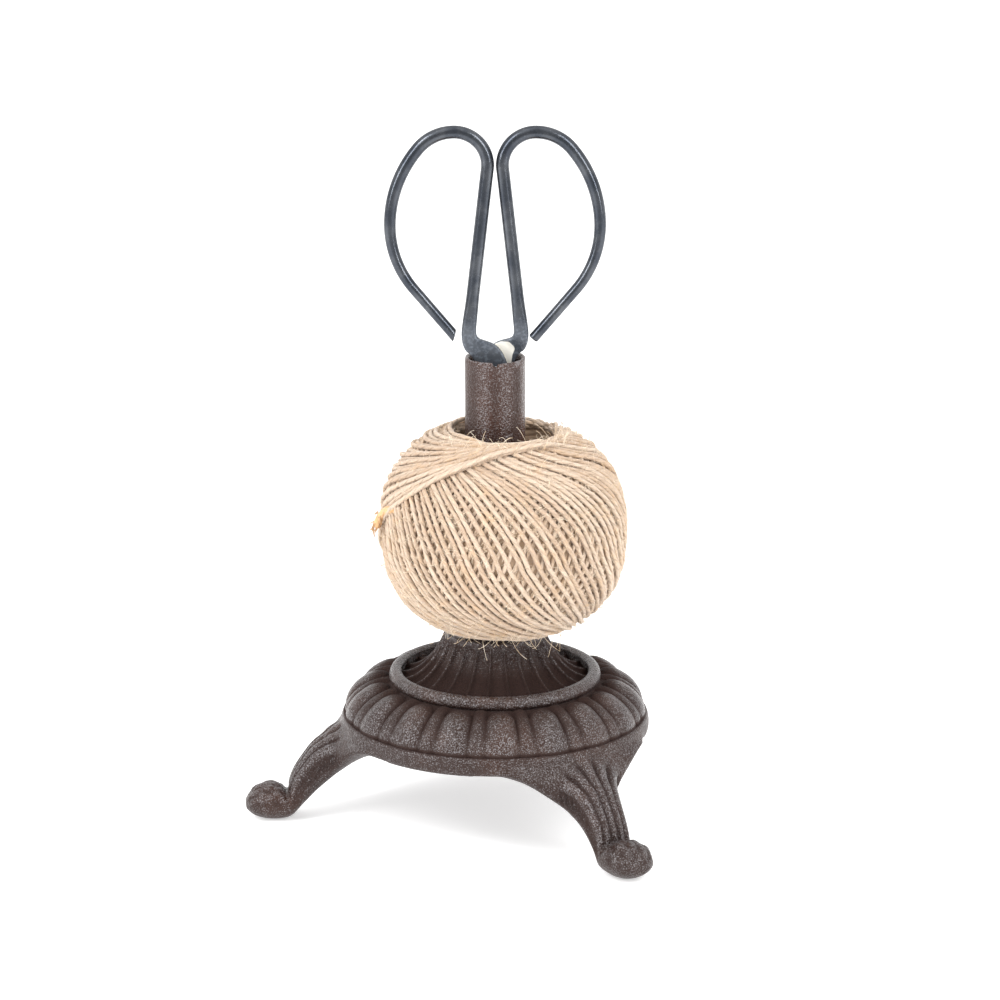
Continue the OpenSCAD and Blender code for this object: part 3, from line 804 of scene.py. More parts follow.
        # Crest map for the lacquer's colour, which paints light and shade. It is darker near the bead and at the foot
        # of the shoulder above the rim (painted shade under the bead and in the crease), and darker in the grooves
        # between pads and low in the neck's hollows (painted shade). It is lighter on the bead, on pad tops and on the
        # neck's ridges, most of all at the sides (painted highlights).
        bead = bell(np.hypot(r - self.ring_r, z - self.ring_z), self.bead_r, 0.6)
        pads = (0.12 + 0.72 * step(r, 40.5, 50.0)) * step(z, self.rim_top, self.rim_top + 2.0)
        hollow = 0.06 + 0.46 * step(z, self.ring_z + 2.0, self.neck_top - 4.0)
        ridge = (1.0 + wave / self.flute_h) ** 5 * (0.2 + 1.1 * np.abs(np.cos(angle)) ** 1.5)
        tone = np.where(r < self.ring_r - 1.0, hollow + ridge,
                        np.maximum(pads * (1.0 + wave / self.lobe_h), 0.8 * bead))
        store(piece, "crest", np.clip(tone, 0.0, 1.2))
        return piece

    def rim_rows(self) -> Array:
        """Radius and height round the section of the rim band."""
        inner = self.rim_r - self.rim_wall
        return np.array([
            (inner, self.rim_low + 0.6), (inner, self.rim_top - 0.6), (inner + 0.6, self.rim_top - 0.3),
            (self.groove_r + 0.3, self.rim_top - 0.6), (self.groove_r + 1.0, self.rim_top + 0.2),
            (self.rim_r - 0.7, self.rim_top), (self.rim_r, self.rim_top - 1.4),
            (self.rim_r + 0.3, (self.rim_low + self.rim_top) / 2), (self.rim_r, self.rim_low + 1.0),
            (self.rim_r - 0.9, self.rim_low), (inner + 0.6, self.rim_low),
        ])

    def leg_rings(self) -> Array:
        """Rings of a leg: radius and height of top and bottom, half width and roundness."""
        return curve_through(self.leg_sections, self.leg_steps)

    def lower(self) -> Piece:
        """Builds the rim band and the legs, melted into one casting, with the leaf relief on the legs.

        Returns:
            The casting's lower part.
        """
        rows, rings = self.rim_rows(), self.leg_rings()
        points = [turned(rows[:, :1], circle(self.rim_columns), rows[:, 1:])]
        faces = grid_faces(len(rows), self.rim_columns, True)[:, ::-1].tolist()
        around = circle(self.leg_sides)
        up, side = power(np.sin(around), rings[:, 5:6]), power(np.cos(around), rings[:, 5:6])
        middle, half = (rings[:, 0:2] + rings[:, 2:4]) / 2, (rings[:, 0:2] - rings[:, 2:4]) / 2
        place = np.arange(len(rings))[:, None] / self.leg_steps
        lift = np.maximum(0.0, self.rim_low + 2.5 - middle[:, 1:]) * (1.0 - step(place, 1.2, 3.2))
        radial = middle[:, :1] + half[:, :1] * up
        height = middle[:, 1:] + half[:, 1:] * up + lift * (1.0 - np.abs(up))
        across = rings[:, 4:5] * side
        for turn in np.radians(self.leg_turns):
            faces += rod_faces(len(rings), self.leg_sides, sum(map(len, points)))
            points.append(np.stack([radial * math.cos(turn) - across * math.sin(turn),
                                    radial * math.sin(turn) + across * math.cos(turn), height], -1).reshape(-1, 3))
        piece = mesh_piece("cast_rim_and_legs", np.vstack(points), faces)
        melt = piece.modifiers.new("melt", "REMESH")
        melt.mode, melt.voxel_size = "VOXEL", self.voxel * MM
        ease(piece, self.melt_rounds)
        settle(piece)
        self.fillet(piece)
        self.carve_legs(piece)
        return piece

    def by_leg(self, points: Array) -> Iterator[tuple[Array, Array]]:
        """How far points are out along each leg in turn, and across it.

        Args:
            points: Points, in millimetres.

        Returns:
            Distances along a leg and across it, leg by leg.
        """
        for turn in np.radians(self.leg_turns):
            yield (points[:, 0] * math.cos(turn) + points[:, 1] * math.sin(turn),
                   points[:, 1] * math.cos(turn) - points[:, 0] * math.sin(turn))

    def fillet(self, piece: Piece) -> None:
        """Eases the corners between the legs' webs and the lower edge of the rim band.

        Args:
            piece: The casting's lower part.
        """
        points = per_point(piece, "co") / MM
        edge = (np.hypot(points[:, 0], points[:, 1]) > self.fillet_r) & (points[:, 2] < self.rim_top - 2.0)
        near, far = self.fillet_span
        corner = np.zeros(len(points), bool)
        for r, t in self.by_leg(points):
            corner |= edge & (r > 0.0) & (np.abs(t) > near) & (np.abs(t) < far)
        group = piece.vertex_groups.new(name="corner")
        group.add(np.flatnonzero(corner).tolist(), 1.0, "REPLACE")
        ease(piece, self.fillet_rounds, group.name)
        settle(piece)

    def carve_legs(self, piece: Piece) -> None:
        """Raises curled leaf tips, grooves and toes on the legs and flattens the soles.

        Args:
            piece: The casting's lower part.
        """
        points, normals = per_point(piece, "co") / MM, per_point(piece, "normal")
        rings = self.leg_rings()
        low, line = rings[:, 2:4], rings[:, 0:2] - rings[:, 2:4]
        rise = np.zeros(len(points))
        for r, t in self.by_leg(points):
            near = np.flatnonzero((r > self.leaf_r) & (np.abs(t) < self.leaf_half_w))
            place = np.stack([r[near], points[near, 2]], -1)[:, None] - low[None]
            part = np.einsum("nkd,kd->nk", place, line) / (line ** 2).sum(1)
            k = np.linalg.norm(place - np.clip(part, 0, 1)[..., None] * line[None], axis=2).argmin(1)
            v = 2.0 * part[np.arange(len(near)), k] - 1.0
            rise[near] += self.leaf(k / self.leg_steps, v, t[near], rings[k, 4])
        points += normals * rise[:, None]
        points[:, 2] = np.maximum(points[:, 2], 0.0)
        piece.data.vertices.foreach_set("co", (points * MM).ravel())
        piece.data.update()
        piece.data.polygons.foreach_set("use_smooth", np.ones(len(piece.data.polygons), bool))
        # Crest map for the lacquer's colour, which paints light and shade. The top of the rim band under the shoulder's
        # edge goes dark (painted shade in the crease). The leaf relief goes lighter where it stands out and darker in
        # its slits, and upward-facing surfaces go lighter (painted light from above).
        groove = step(np.hypot(points[:, 0], points[:, 1]), self.rim_r - 1.6, self.rim_r - 0.2)
        groove = np.maximum(groove, 1.0 - step(points[:, 2], self.rim_top - 2.0, self.rim_top - 0.8))
        tone = 0.52 + 0.8 * rise + 0.2 * np.clip(normals[:, 2], 0.0, 1.0)
        store(piece, "crest", np.clip(tone, 0.36, 1.2) * groove)

    def leaf(self, u: Array, v: Array, t: Array, width: Array) -> Array:
        """Height of the leaf relief on a leg.

        Args:
            u: Place along the leg, in numbers of sections.
            v: Place from the underside, -1, to the top, 1.
            t: Distance from the leg's middle, in millimetres.
            width: Half width of the leg there.

        Returns:
            How far the surface stands out, in millimetres.
        """
        q = self.ribs * t / width
        k = np.clip(np.round(q), -2, 2)
        w = np.clip(np.abs(q - k) * 2.0, 0.0, 1.0)
        tip = self.leaf_tip + 0.3 * np.abs(k)
        run = step(u, tip - 0.7, tip + 0.5) * (1.0 - step(u, *self.leaf_end))
        slit = bell(w, 1.0, 0.34) * (0.55 + 0.75 * bell(u, tip + 0.3, 0.8))
        height = run * (0.75 * np.sqrt(1.0 - w ** 2) - 0.3 - slit) + 0.3 * bell(u, tip + 0.5, 0.35) * (1.0 - w)
        claw = np.abs(np.cos(math.pi * self.ribs * t / width)) + 0.4 * np.sin(5.2 * u + 0.9 * t)
        toe = step(u, *self.toe_start) * (1.0 - step(u, *self.toe_end)) * step(v, -0.1, 0.4)
        return step(v, -0.5, 0.1) * height * (np.abs(q) < self.ribs) + toe * (0.5 * claw - 0.3)

    def build(self) -> None:
        """Builds and dresses the casting."""
        dress(self.lower(), IRON, Body.STAND, Slot.IRON, "base_casting")
        dress(self.upper(), IRON, Body.STAND, Slot.IRON)


@dataclass
class PostTube:
    """The rolled tube with its uneven lip, the notch at the lip's seam and painted highlights on its lacquer: glint
    bands round it and a glint on the lip. Millimetres.
    """

    outer_r: float = 11.05
    bore_r: float = 9.5
    low: float = 58.0
    top: float = 174.7
    rows: int = 60
    columns: int = 288
    seam: float = math.radians(-90.0)
    notch_w: float = 1.5
    notch_h: float = 1.1
    # Painted highlight: the angle round the lip where a glint is painted.
    painted_rim_glint: float = math.radians(318.0)
    uneven_above: Pair = (72.0, 78.0)
    # Painted highlights: the angles of the glint bands painted round the tube, and their width.
    painted_glint_bands: Sequence[float] = (-111.0, -69.0, -18.0, 31.0, 70.0, 128.0, 166.0)
    glint_band_width: float = math.radians(12.5)

    def build(self) -> None:
        """Builds the tube as one turned shell, then cuts the notch and dents the lip."""
        lip = self.top
        outside = [(self.outer_r, z) for z in np.linspace(self.low, lip - 0.6, self.rows)]
        rim = [(self.outer_r - 0.08, lip - 0.3), (self.outer_r - 0.3, lip - 0.08), (self.outer_r - 0.7, lip),
               (self.bore_r + 0.55, lip - 0.04), (self.bore_r + 0.2, lip - 0.4)]
        inside = [(self.bore_r, z) for z in np.linspace(lip - 0.6, self.low, self.rows)]
        section = np.array(outside + rim + inside)
        angle = circle(self.columns)[None, :]
        r, z = section[:, :1], section[:, 1:]
        wobble = 0.05 * np.sin(3 * angle + z * 0.05) + 0.04 * np.sin(7 * angle - z * 0.11)
        radius = r + wobble * step(z, *self.uneven_above) - 0.04
        dent = 0.14 * np.sin(2 * angle + 1.0) + 0.10 * np.sin(5 * angle) + 0.07 * np.sin(11 * angle + 2.0) - 0.2
        off = off_angle(angle, self.seam) * self.outer_r
        notch = -self.notch_h * (1.0 - step(off, self.notch_w * 0.3, self.notch_w * 0.75))
        seam = 0.35 * step(-off * np.sign(np.cos(angle)), -0.4, 0.4) * bell(off, 0.0, 6.0)
        z = z + step(z, lip - 6.0, lip - 0.4) * (dent + notch + seam)
        piece = mesh_piece("post_tube_rolled", turned(radius, angle, z), grid_faces(len(section), self.columns, True))
        # Painted highlights: a glint on the lip at the front right and bands of grey glints at the listed angles round
        # the tube stand in for reflections. The top of the lip is made lighter too.
        painted_rim_glint = bell(angle, self.painted_rim_glint, 0.10) * bell(z, lip - 0.2, 0.9)
        near = off_angle(angle[..., None], np.radians(self.painted_glint_bands)).min(-1)
        tube_glint = 0.46 + 0.5 * bell(near + 0.03 * np.sin(z * 0.35), 0.0, self.glint_band_width)
        store(piece, "crest", np.clip(tube_glint + 3.0 * painted_rim_glint + 0.6 * step(z, lip - 0.6, lip - 0.1), 0.0, 3.0))
        dress(piece, LACQUER, Body.STAND, Slot.IRON, "post_tube")


@dataclass
class ScissorHalf:
    """One half of the scissors, drawn with its handle at +X and mirrored for the left one. Millimetres."""

    name: str
    node: str
    body: Body
    side: float
    slant_end: float
    rod_r: float = 2.4
    rod_thin: float = 0.8
    sides: int = 32
    pivot_z: float = 168.0
    bore_r: float = 2.05
    bore_sides: int = 48
    bore_reach: float = 6.0
    layer: float = 1.3
    bar_head: Pair = (2.75, 243.9)
    bar_start: Pair = (8.01, 197.2)
    bends: Sequence[Sequence[float]] = ((14.67, 245.24, 12.0, 186.43, 90.0), (14.67, 240.34, 16.9, 90.0, 40.0),
                                        (-5.94, 223.05, 43.8, 40.0, 0.0), (1.56, 223.05, 36.3, 0.0, -40.2))
    rod_end: float = 24.0
    ground_top: float = 180.2
    ground_edge: Sequence[Pair] = ((172.0, 5.9), (175.2, 6.3), (177.9, 7.4), (180.3, 5.0))
    bar_steps: int = 16
    end_steps: int = 9
    forged_steps: int = 7
    forged: Sequence[Sequence[float]] = (
        (-0.55, 80.4, -0.05, 80.4, 0.35, 1.0, 0.7, 0.3),
        (-1.10, 84.0, 0.85, 84.0, 1.05, 1.0, 0.5, 0.8),
        (-2.52, 96.3, 1.20, 96.3, 1.25, 1.0, 0.4, 0.9),
        (-4.56, 120.3, 1.85, 120.3, 1.25, 1.0, 0.4, 0.9),
        (-5.40, 136.0, 2.30, 136.0, 1.25, 1.0, 0.4, 0.9),
        (-6.00, 150.0, 2.70, 150.0, 1.25, 1.0, 0.4, 0.9),
        (-6.00, 160.0, 3.10, 158.5, 1.25, 1.0, 0.4, 0.7),
        (-5.40, 167.5, 4.30, 163.6, 1.25, 1.0, 0.35, 0.0),
        (-4.50, 172.2, 5.30, 167.4, 1.25, 1.0, 0.35, 0.0),
        (-3.30, 175.3, 6.20, 170.2, 1.25, 1.0, 0.35, 0.0),
        (-1.70, 177.8, 7.20, 172.6, 1.25, 1.0, 0.35, 0.0),
        (0.20, 179.5, 8.00, 174.4, 1.25, 1.0, 0.35, 0.0),
        (2.20, 180.4, 9.25, 175.9, 1.30, 0.95, 0.38, 0.0),
        (4.20, 181.0, 10.60, 177.0, 1.55, 0.75, 0.42, 0.0),
        (5.80, 181.6, 11.60, 179.0, 1.85, 0.45, 0.46, 0.0),
        (6.60, 182.8, 12.10, 181.3, 2.05, 0.20, 0.50, 0.0),
        (6.75, 184.8, 12.15, 184.3, 2.20, 0.08, 0.54, 0.0),
        (6.35, 189.0, 11.60, 189.0, 2.35, 0.0, 0.66, 0.0),
        (5.95, 193.3, 10.92, 193.6, 2.40, 0.0, 0.85, 0.0),
    )

    @staticmethod
    def bend_at(x: float, z: float, radius: float, a: float) -> tuple[Array, Array]:
        """The place and the heading of the rod at an angle of a bend."""
        return np.array([x + radius * math.cos(a), z + radius * math.sin(a)]), np.array([math.sin(a), -math.cos(a)])

    @staticmethod
    def left(way: Array) -> Array:
        """The direction at right angles to a heading in the plane of the scissors."""
        return np.array([way[1], -way[0]])

    def rod_rings(self) -> Array:
        """Rings of the round rod from the forged part round the loop to its end.

        Returns:
            Inner and outer edge, half thickness, depth, squareness and keenness of each ring.
        """
        start, head = np.array(self.bar_start), np.array(self.bar_head)
        way = (head - start) / np.linalg.norm(head - start)
        line = [(start + (head - start) * s, way) for s in np.linspace(0.0, 1.0, self.bar_steps, endpoint=False)]
        for x, z, radius, first, last in self.bends:
            count = max(8, int(abs(first - last) / 3))
            line += [self.bend_at(x, z, radius, a) for a in np.radians(np.linspace(first, last, count, endpoint=False))]
        foot, way = self.bend_at(*self.bends[-1][:3], math.radians(self.bends[-1][-1]))
        line += [(foot + way * self.rod_end * s, way) for s in np.linspace(0.0, 0.78, self.end_steps)]
        thin = 1.0 - (1.0 - self.rod_thin) * step(np.linspace(0.0, 1.0, len(line)), 0.6, 1.0)
        rings = [[*(p - r * self.left(w)), *(p + r * self.left(w)), r, 0.0, 1.0, 0.0]
                 for (p, w), r in zip(line, self.rod_r * thin)]
        for back, size in ((0.5, 1.0), (0.15, 0.97), (0.0, 0.86), (0.0, 0.4)):
            r = self.rod_r * self.rod_thin * size
            tip = foot + way * (self.rod_end - back - 0.5 * self.slant_end)
            aside = r * self.left(way) - way * self.slant_end * 0.5 * size
            rings.append([*(tip - aside), *(tip + aside), r, 0.0, 1.0, 0.0])
        return np.array(rings)

    def build(self) -> None:
        """Builds the half from blade tip to rod end in one skin, bores it and grinds the blade's flat."""
        rings = np.vstack([curve_through(self.forged, self.forged_steps), self.rod_rings()])
        inner, outer = rings[:, None, 0:2], rings[:, None, 2:4]
        thick, depth, square, keen = (rings[:, k:k + 1] for k in range(4, 8))
        angle = circle(self.sides)[None, :]
        across, front = power(np.cos(angle), square), power(np.sin(angle), square)
        flat = (inner + outer) / 2 + (outer - inner) / 2 * across[..., None]
        thinned = np.where(front > 0, 1.0 - 1.9 * keen * step(across, 0.0, 1.0), 1.0)
        y = depth * self.layer + thick * front * thinned
        points = np.stack([flat[..., 0] * self.side, y * self.side, flat[..., 1]], -1).reshape(-1, 3)
        piece = mesh_piece(self.name, points, rod_faces(len(rings), self.sides))
        self.bore(piece)
        spots, normals = per_point(piece, "co") / MM, per_point(piece, "normal")
        limit = np.interp(spots[:, 2], *zip(*self.ground_edge))
        facing = step(-normals[:, 1] * self.side, 0.4, 0.8)
        inside = np.minimum(limit - spots[:, 0] * self.side, self.ground_top - spots[:, 2])
        store(piece, "ground", np.where(facing > 0.5, inside, -1.0))
        dress(piece, GUNMETAL, self.body, Slot.GUNMETAL, self.node)

    def bore(self, piece: Piece) -> None:
        """Bores the blade for the pivot rivet.

        Args:
            piece: The half.
        """
        ring = [(self.bore_r * math.cos(a), y, self.pivot_z + self.bore_r * math.sin(a))
                for y in (-self.bore_reach, self.bore_reach) for a in circle(self.bore_sides)]
        drill = mesh_piece("drill", np.array(ring), rod_faces(2, self.bore_sides))
        cut = piece.modifiers.new("bore", "BOOLEAN")
        cut.operation, cut.solver, cut.object = "DIFFERENCE", "EXACT", drill
        settle(piece)
        bpy.data.objects.remove(drill)


@dataclass
class TwineBall:
    """The ball of jute twine: crossing loops, a last band over the top, its loose end and stray fibres. Millimetres."""

    centre: Triple = (3.4, 0.0, 107.67)
    half_w: float = 44.3
    rise: float = 40.4
    drop: float = 37.4
    full_up: float = 0.72
    full_down: float = 0.8
    twine_r: float = 0.9
    lap: float = 1.15
    lay: Sequence[Pair] = ((0.0, 0.0), (1.14, 0.8), (1.92, 0.35), (3.06, 1.05))
    loops: int = 80
    loop_points: int = 96
    climb: Pair = (-92.0, 92.0)
    fall: Pair = (88.0, 272.0)
    go_over: Pair = (82.0, 100.0)
    go_under: Pair = (248.0, 276.0)
    crowd_span: Pair = (22.0, 50.0)
    strand_sides: int = 8
    wander_per_m: float = 62.0
    lump_per_m: float = 260.0
    tilt: float = math.radians(60.0)
    swing_up: float = math.radians(10.5)
    swing_down: float = math.radians(4.0)
    swing_reach: float = math.radians(24.0)
    turn: float = math.radians(-90.0)
    skin_rows: int = 60
    inside_level: float = -1.15
    inside_columns: int = 240
    hole_r: float = 15.6
    mouth: float = 4.4
    mouth_depth: float = 15.0
    mouth_pitch: float = 2.3
    band_strands: int = 21
    band_span: Pair = (96.0, 346.0)
    band_rise: Pair = (96.0, 130.0)
    band_sink: Pair = (300.0, 340.0)
    band_points: int = 150
    band_top: float = 18.0
    band_foot: float = 24.0
    band_slope: float = 0.82
    band_turn: float = 262.0
    band_ease: float = 12.0
    tail: Sequence[Triple] = ((-39.0, -16.5, 14.0), (-42.6, -13.0, 12.8), (-44.9, -10.6, 10.6), (-46.2, -9.2, 8.0),
                              (-46.9, -8.6, 5.6))
    tail_r: float = 1.55
    fray: int = 60
    fray_r: float = 0.2
    fray_l: Pair = (1.0, 2.8)
    fray_way: Triple = (-0.3, 0.1, -1.0)
    wisps: int = 70
    wisp_r: float = 0.055
    wisp_l: Pair = (4.0, 11.0)
    wisp_ways: Pair = (-150.0, -25.0)
    wisp_top: Pair = (22.0, 30.0)
    wisp_foot: Pair = (136.0, 147.0)
    wobble: float = 1.8
    stray: float = 0.2
    hairs: int = 4600
    hairs_per_m2: float = 1.0e6
    hair_sides: int = 3
    hair_points: int = 7
    hair_r: float = 0.05
    hair_l: float = 7.5
    hair_curl: float = 7.0
    curl_per_m: float = 210.0
    hair_stand: float = 0.9
    fuzz_level: float = 0.35
    fuzz_gap: float = 3.5
    fuzz_columns: int = 96
    seed: int = 7

    def on_ball(self, latitude: Array, turn: Array, level: Array) -> Array:
        """Places on the full-shouldered ball.

        Args:
            latitude: Angle above the ball's middle.
            turn: Angle round its axis.
            level: Number of strands above the outer ones.

        Returns:
            Places about the ball's middle.
        """
        a = self.half_w + level * self.lap
        c = np.where(latitude > 0.0, self.rise, self.drop) + level * self.lap
        full = np.where(latitude > 0.0, self.full_up, self.full_down)
        wide = a * np.abs(np.cos(latitude)) ** full
        return np.stack([wide * np.cos(turn), wide * np.sin(turn), c * power(np.sin(latitude), full + 0.1)], -1)

    def loop_paths(self, first: float, last: float) -> list[Array]:
        """The same part of a few neighbouring loops, of which some sink under the others where they crowd.

        A loop climbs low and comes down on top of the climbing ones.

        Args:
            first: Where the part starts, in degrees round the loop.
            last: Where it ends.

        Returns:
            Points of each loop about the ball's middle.
        """
        degrees = np.linspace(first, last, self.loop_points)
        t = np.radians(degrees)
        latitude = np.arcsin(math.sin(self.tilt) * np.sin(t))
        for apex, swing in ((90.0, self.swing_up), (270.0, -self.swing_down), (-90.0, -self.swing_down)):
            off = np.minimum(math.pi / 2, np.abs(t - math.radians(apex)) * (math.pi / 2) / self.swing_reach)
            latitude = latitude + swing * np.cos(off) ** 2
        around = np.unwrap(np.arctan2(np.sin(t) * math.cos(self.tilt), np.cos(t)))
        turn = self.turn + around + t / self.loops
        level = step(degrees, *self.go_over) * (1.0 - step(degrees, *self.go_under)) - 1.0
        crowd = step(np.abs(latitude), *map(math.radians, self.crowd_span))
        return [self.on_ball(latitude, turn + offset * TAU / self.loops, level - sink * crowd)
                for offset, sink in self.lay]

    def band_paths(self) -> list[Array]:
        """Strands of the last band, which fan out over the left shoulder and bunch at the front of the hole.

        Returns:
            Points of each strand about the ball's middle.
        """
        paths = []
        way = np.linspace(*self.band_span, self.band_points)
        bend = self.band_ease * np.log1p(np.exp((self.band_turn - way) / self.band_ease))
        edge = self.band_foot + self.band_slope * bend
        crowd = 1.0 - step(edge - self.band_top, 8.0, 44.0)
        ends = step(way, *self.band_rise) * (1.0 - step(way, *self.band_sink))
        for k in range(self.band_strands):
            share = k / (self.band_strands - 1)
            polar = self.band_top + share * (edge - self.band_top) + 0.45 * np.sin(0.05 * way + 2.4 * k)
            sink = crowd * (1.6 * (1.0 - share) - 0.4 * (k % 3))
            level = 1.0 - sink - 0.6 * (k % 2) + 0.15 * np.sin(0.09 * way + 2.1 * k)
            paths.append(self.on_ball(np.radians(90.0 - polar), np.radians(way), level * ends - 1.4 * (1.0 - ends)))
        return paths

    def tail_path(self) -> Array:
        """The short loose end that hangs off the band at the left."""
        return curve_through(self.tail, 5)

    def fray_paths(self) -> list[Array]:
        """Loose fibres that spread from the last part of the loose end.

        Returns:
            Points of each fibre about the ball's middle.
        """
        lot = np.random.default_rng(self.seed)
        tail = self.tail_path()
        paths = []
        for _ in range(self.fray):
            start = tail[lot.integers(10, len(tail))] + lot.normal(0.0, 0.7, 3)
            way = np.array(self.fray_way) + lot.normal(0.0, 0.3, 3)
            bend = lot.normal(0.0, 0.4, 3)
            t = np.linspace(0.0, 1.0, 6)[:, None] * lot.uniform(*self.fray_l)
            paths.append(start + way * t + bend * t ** 2 * 0.16)
        return paths

    def wisp_paths(self) -> list[Array]:
        """Long fibres that stand up from the front edge of the hole and hang from the ball's foot.

        Returns:
            Points of each fibre about the ball's middle.
        """
        lot = np.random.default_rng(self.seed + 1)
        t = np.linspace(0.0, 1.0, 10)[:, None]
        paths = []
        for k in range(self.wisps):
            top = k % 5 < 3
            way = math.radians(lot.uniform(*self.wisp_ways))
            polar = lot.uniform(*(self.wisp_top if top else self.wisp_foot))
            start = self.on_ball(np.array(math.radians(90.0 - polar)), np.array(way), np.array(0.3))
            out = np.array([math.cos(way), math.sin(way), 0.0]) * (lot.uniform(-0.2, 0.2) if top else 0.25)
            aside = np.array([-math.sin(way), math.cos(way), 0.0]) * lot.uniform(0.4, 1.0) * lot.choice((-1.0, 1.0))
            up = np.array([0.0, 0.0, lot.uniform(0.8, 1.5) if top else lot.uniform(-1.4, -0.7)])
            length = lot.uniform(*self.wisp_l)
            paths.append(start + length * (t * (out + 0.7 * aside) + up * (t - lot.uniform(0.2, 0.7) * t ** 2)))
        return paths

    def strand_tree(self) -> bpy.types.NodeTree:
        """Builds the tree that lays copies of a path round the ball and sweeps the twine along them.

        Returns:
            The tree.
        """
        g = new_tree("wind_twine", "Path", {
            "Copies": "Int", "Twine Radius": "Float", "Wobble": "Float", "Stray": "Float", "Seed": "Int",
            "Centre": "Vector", "Depth": "Float"})
        given = g.add("NodeGroupInput").outputs
        path = g.out("GeometryNodeMeshToCurve", {"Mesh": given["Path"]})
        spots = g.out("GeometryNodePoints", {"Count": given["Copies"]})
        aside = g.chance(given["Seed"], {2: g.times(given["Stray"], -1.0), 3: given["Stray"]})
        spin = g.times(g.plus(g.out("GeometryNodeInputIndex"), aside), g.math("DIVIDE", TAU, given["Copies"]))
        laid = g.out("GeometryNodeInstanceOnPoints", {"Points": spots, "Instance": path, "Rotation": g.join(z=spin)})
        strands = g.out("GeometryNodeRealizeInstances", {"Geometry": laid})
        strands = g.keep(strands, "shade", g.chance(given["Seed"], {}), domain="CURVE")
        own, place = g.kept("shade"), g.out("GeometryNodeInputPosition")
        where = g.vector("ADD", place, g.join(g.times(own, 9.0), g.times(own, 5.0)))
        offset = g.wander(where, self.wander_per_m, given["Wobble"])
        strands = g.out("GeometryNodeSetPosition", {"Geometry": strands, "Offset": offset})
        lump = g.plus(0.58, g.times(g.noise(where, self.lump_per_m), 0.84))
        strands = g.out("GeometryNodeSetCurveRadius", {"Curve": strands, "Radius": lump})
        strands = g.keep(strands, "along", g.out("GeometryNodeSplineParameter", None, "Length"))
        ring = g.ring(self.strand_sides, given["Twine Radius"])
        outward = g.vector("NORMALIZE", place)
        twine = g.sweep(strands, g.keep(ring, "rim", outward, "FLOAT_VECTOR"))
        cosine, sine, _ = g.parts(g.kept("rim", "FLOAT_VECTOR"))
        twine = g.keep(twine, "strand", g.join(g.kept("along"), cosine, sine), "FLOAT_VECTOR")
        side = g.vector("DOT_PRODUCT", g.out("GeometryNodeInputNormal"), outward, 1)
        twine = g.keep(g.keep(twine, "outward", side), "depth", given["Depth"])
        twine = g.out("GeometryNodeTransform", {"Geometry": twine, "Translation": given["Centre"]})
        g.add("NodeGroupOutput", {0: g.out("GeometryNodeSetShadeSmooth", {"Geometry": twine})})
        return g.tree

    def wind(self, name: str, tree: bpy.types.NodeTree, paths: Sequence[Array], copies: int, radius: float,
             depth: float, seed: int) -> Piece:
        """Winds one layer of twine.

        Args:
            name: Name of the piece.
            tree: The winding tree.
            paths: Paths of strands about the ball's middle, in millimetres.
            copies: Number of copies round the ball.
            radius: Radius of a strand, in millimetres.
            depth: How far the layer lies in the shade of others, 0 to 1.
            seed: Seed of the strands' shades.

        Returns:
            The layer as a plain mesh.
        """
        mesh = bpy.data.meshes.new(name)
        joins, start = [], 0
        for path in paths:
            joins += [(start + k, start + k + 1) for k in range(len(path) - 1)]
            start += len(path)
        mesh.from_pydata((np.vstack(paths) * MM).tolist(), joins, [])
        return set_tree(put(name, mesh), tree, {
            "Copies": copies, "Twine Radius": radius * MM, "Wobble": self.wobble * MM, "Seed": seed,
            "Stray": self.stray * copies / self.loops if copies > 1 else 0.0,
            "Centre": tuple(c * MM for c in self.centre), "Depth": depth,
        })

    def core(self, level: float, hole_r: float, flare: float = 0.0) -> Array:
        """Section of the ball at a level, closed by the wall of its hole.

        Args:
            level: Number of strands above the outer ones, negative inside.
            hole_r: Radius of the hole.
            flare: How much wider the hole is at its upper mouth.

        Returns:
            Radius and height round the section.
        """
        a = self.half_w + level * self.lap
        low = math.acos((hole_r / a) ** (1.0 / self.full_down))
        high = math.acos(((hole_r + flare) / a) ** (1.0 / self.full_up))
        latitude = np.linspace(-low, high, self.skin_rows)
        skin = self.on_ball(latitude, 0 * latitude, level + 0 * latitude)
        fall = np.concatenate([np.linspace(0.0, self.mouth_depth, 41)[1:],
                               np.linspace(self.mouth_depth, skin[-1, 2] - skin[0, 2], 12)[1:-1]])
        radius = hole_r + flare * (1.0 - fall / self.mouth_depth).clip(0.0) ** 1.5
        return np.vstack([skin[:, ::2], np.stack([radius, skin[-1, 2] - fall], -1)])

    def inside(self) -> Piece:
        """Builds the shaded inside of the ball, with strands coiled in the hole that the post goes through.

        Returns:
            The inside.
        """
        rows = self.core(self.inside_level, self.hole_r, self.mouth)
        r, z = rows[:, :1], rows[:, 1:]
        angle = circle(self.inside_columns)[None, :]
        wall = np.arange(len(rows))[:, None] >= self.skin_rows
        coil = 0.5 * np.abs(np.sin(math.pi * z / self.mouth_pitch + 5 * angle)) - 0.2
        radius = r + np.where(wall, -coil, 0.25 * np.sin(64 * angle + z * 1.6))
        piece = mesh_piece("twine_inside", turned(radius, angle, z) + np.array(self.centre),
                           grid_faces(len(rows), self.inside_columns, True))
        store(piece, "depth", np.where(wall, 0.75 - 0.9 * coil, 0.25))
        store(piece, "outward", np.ones(len(piece.data.vertices)))
        return piece

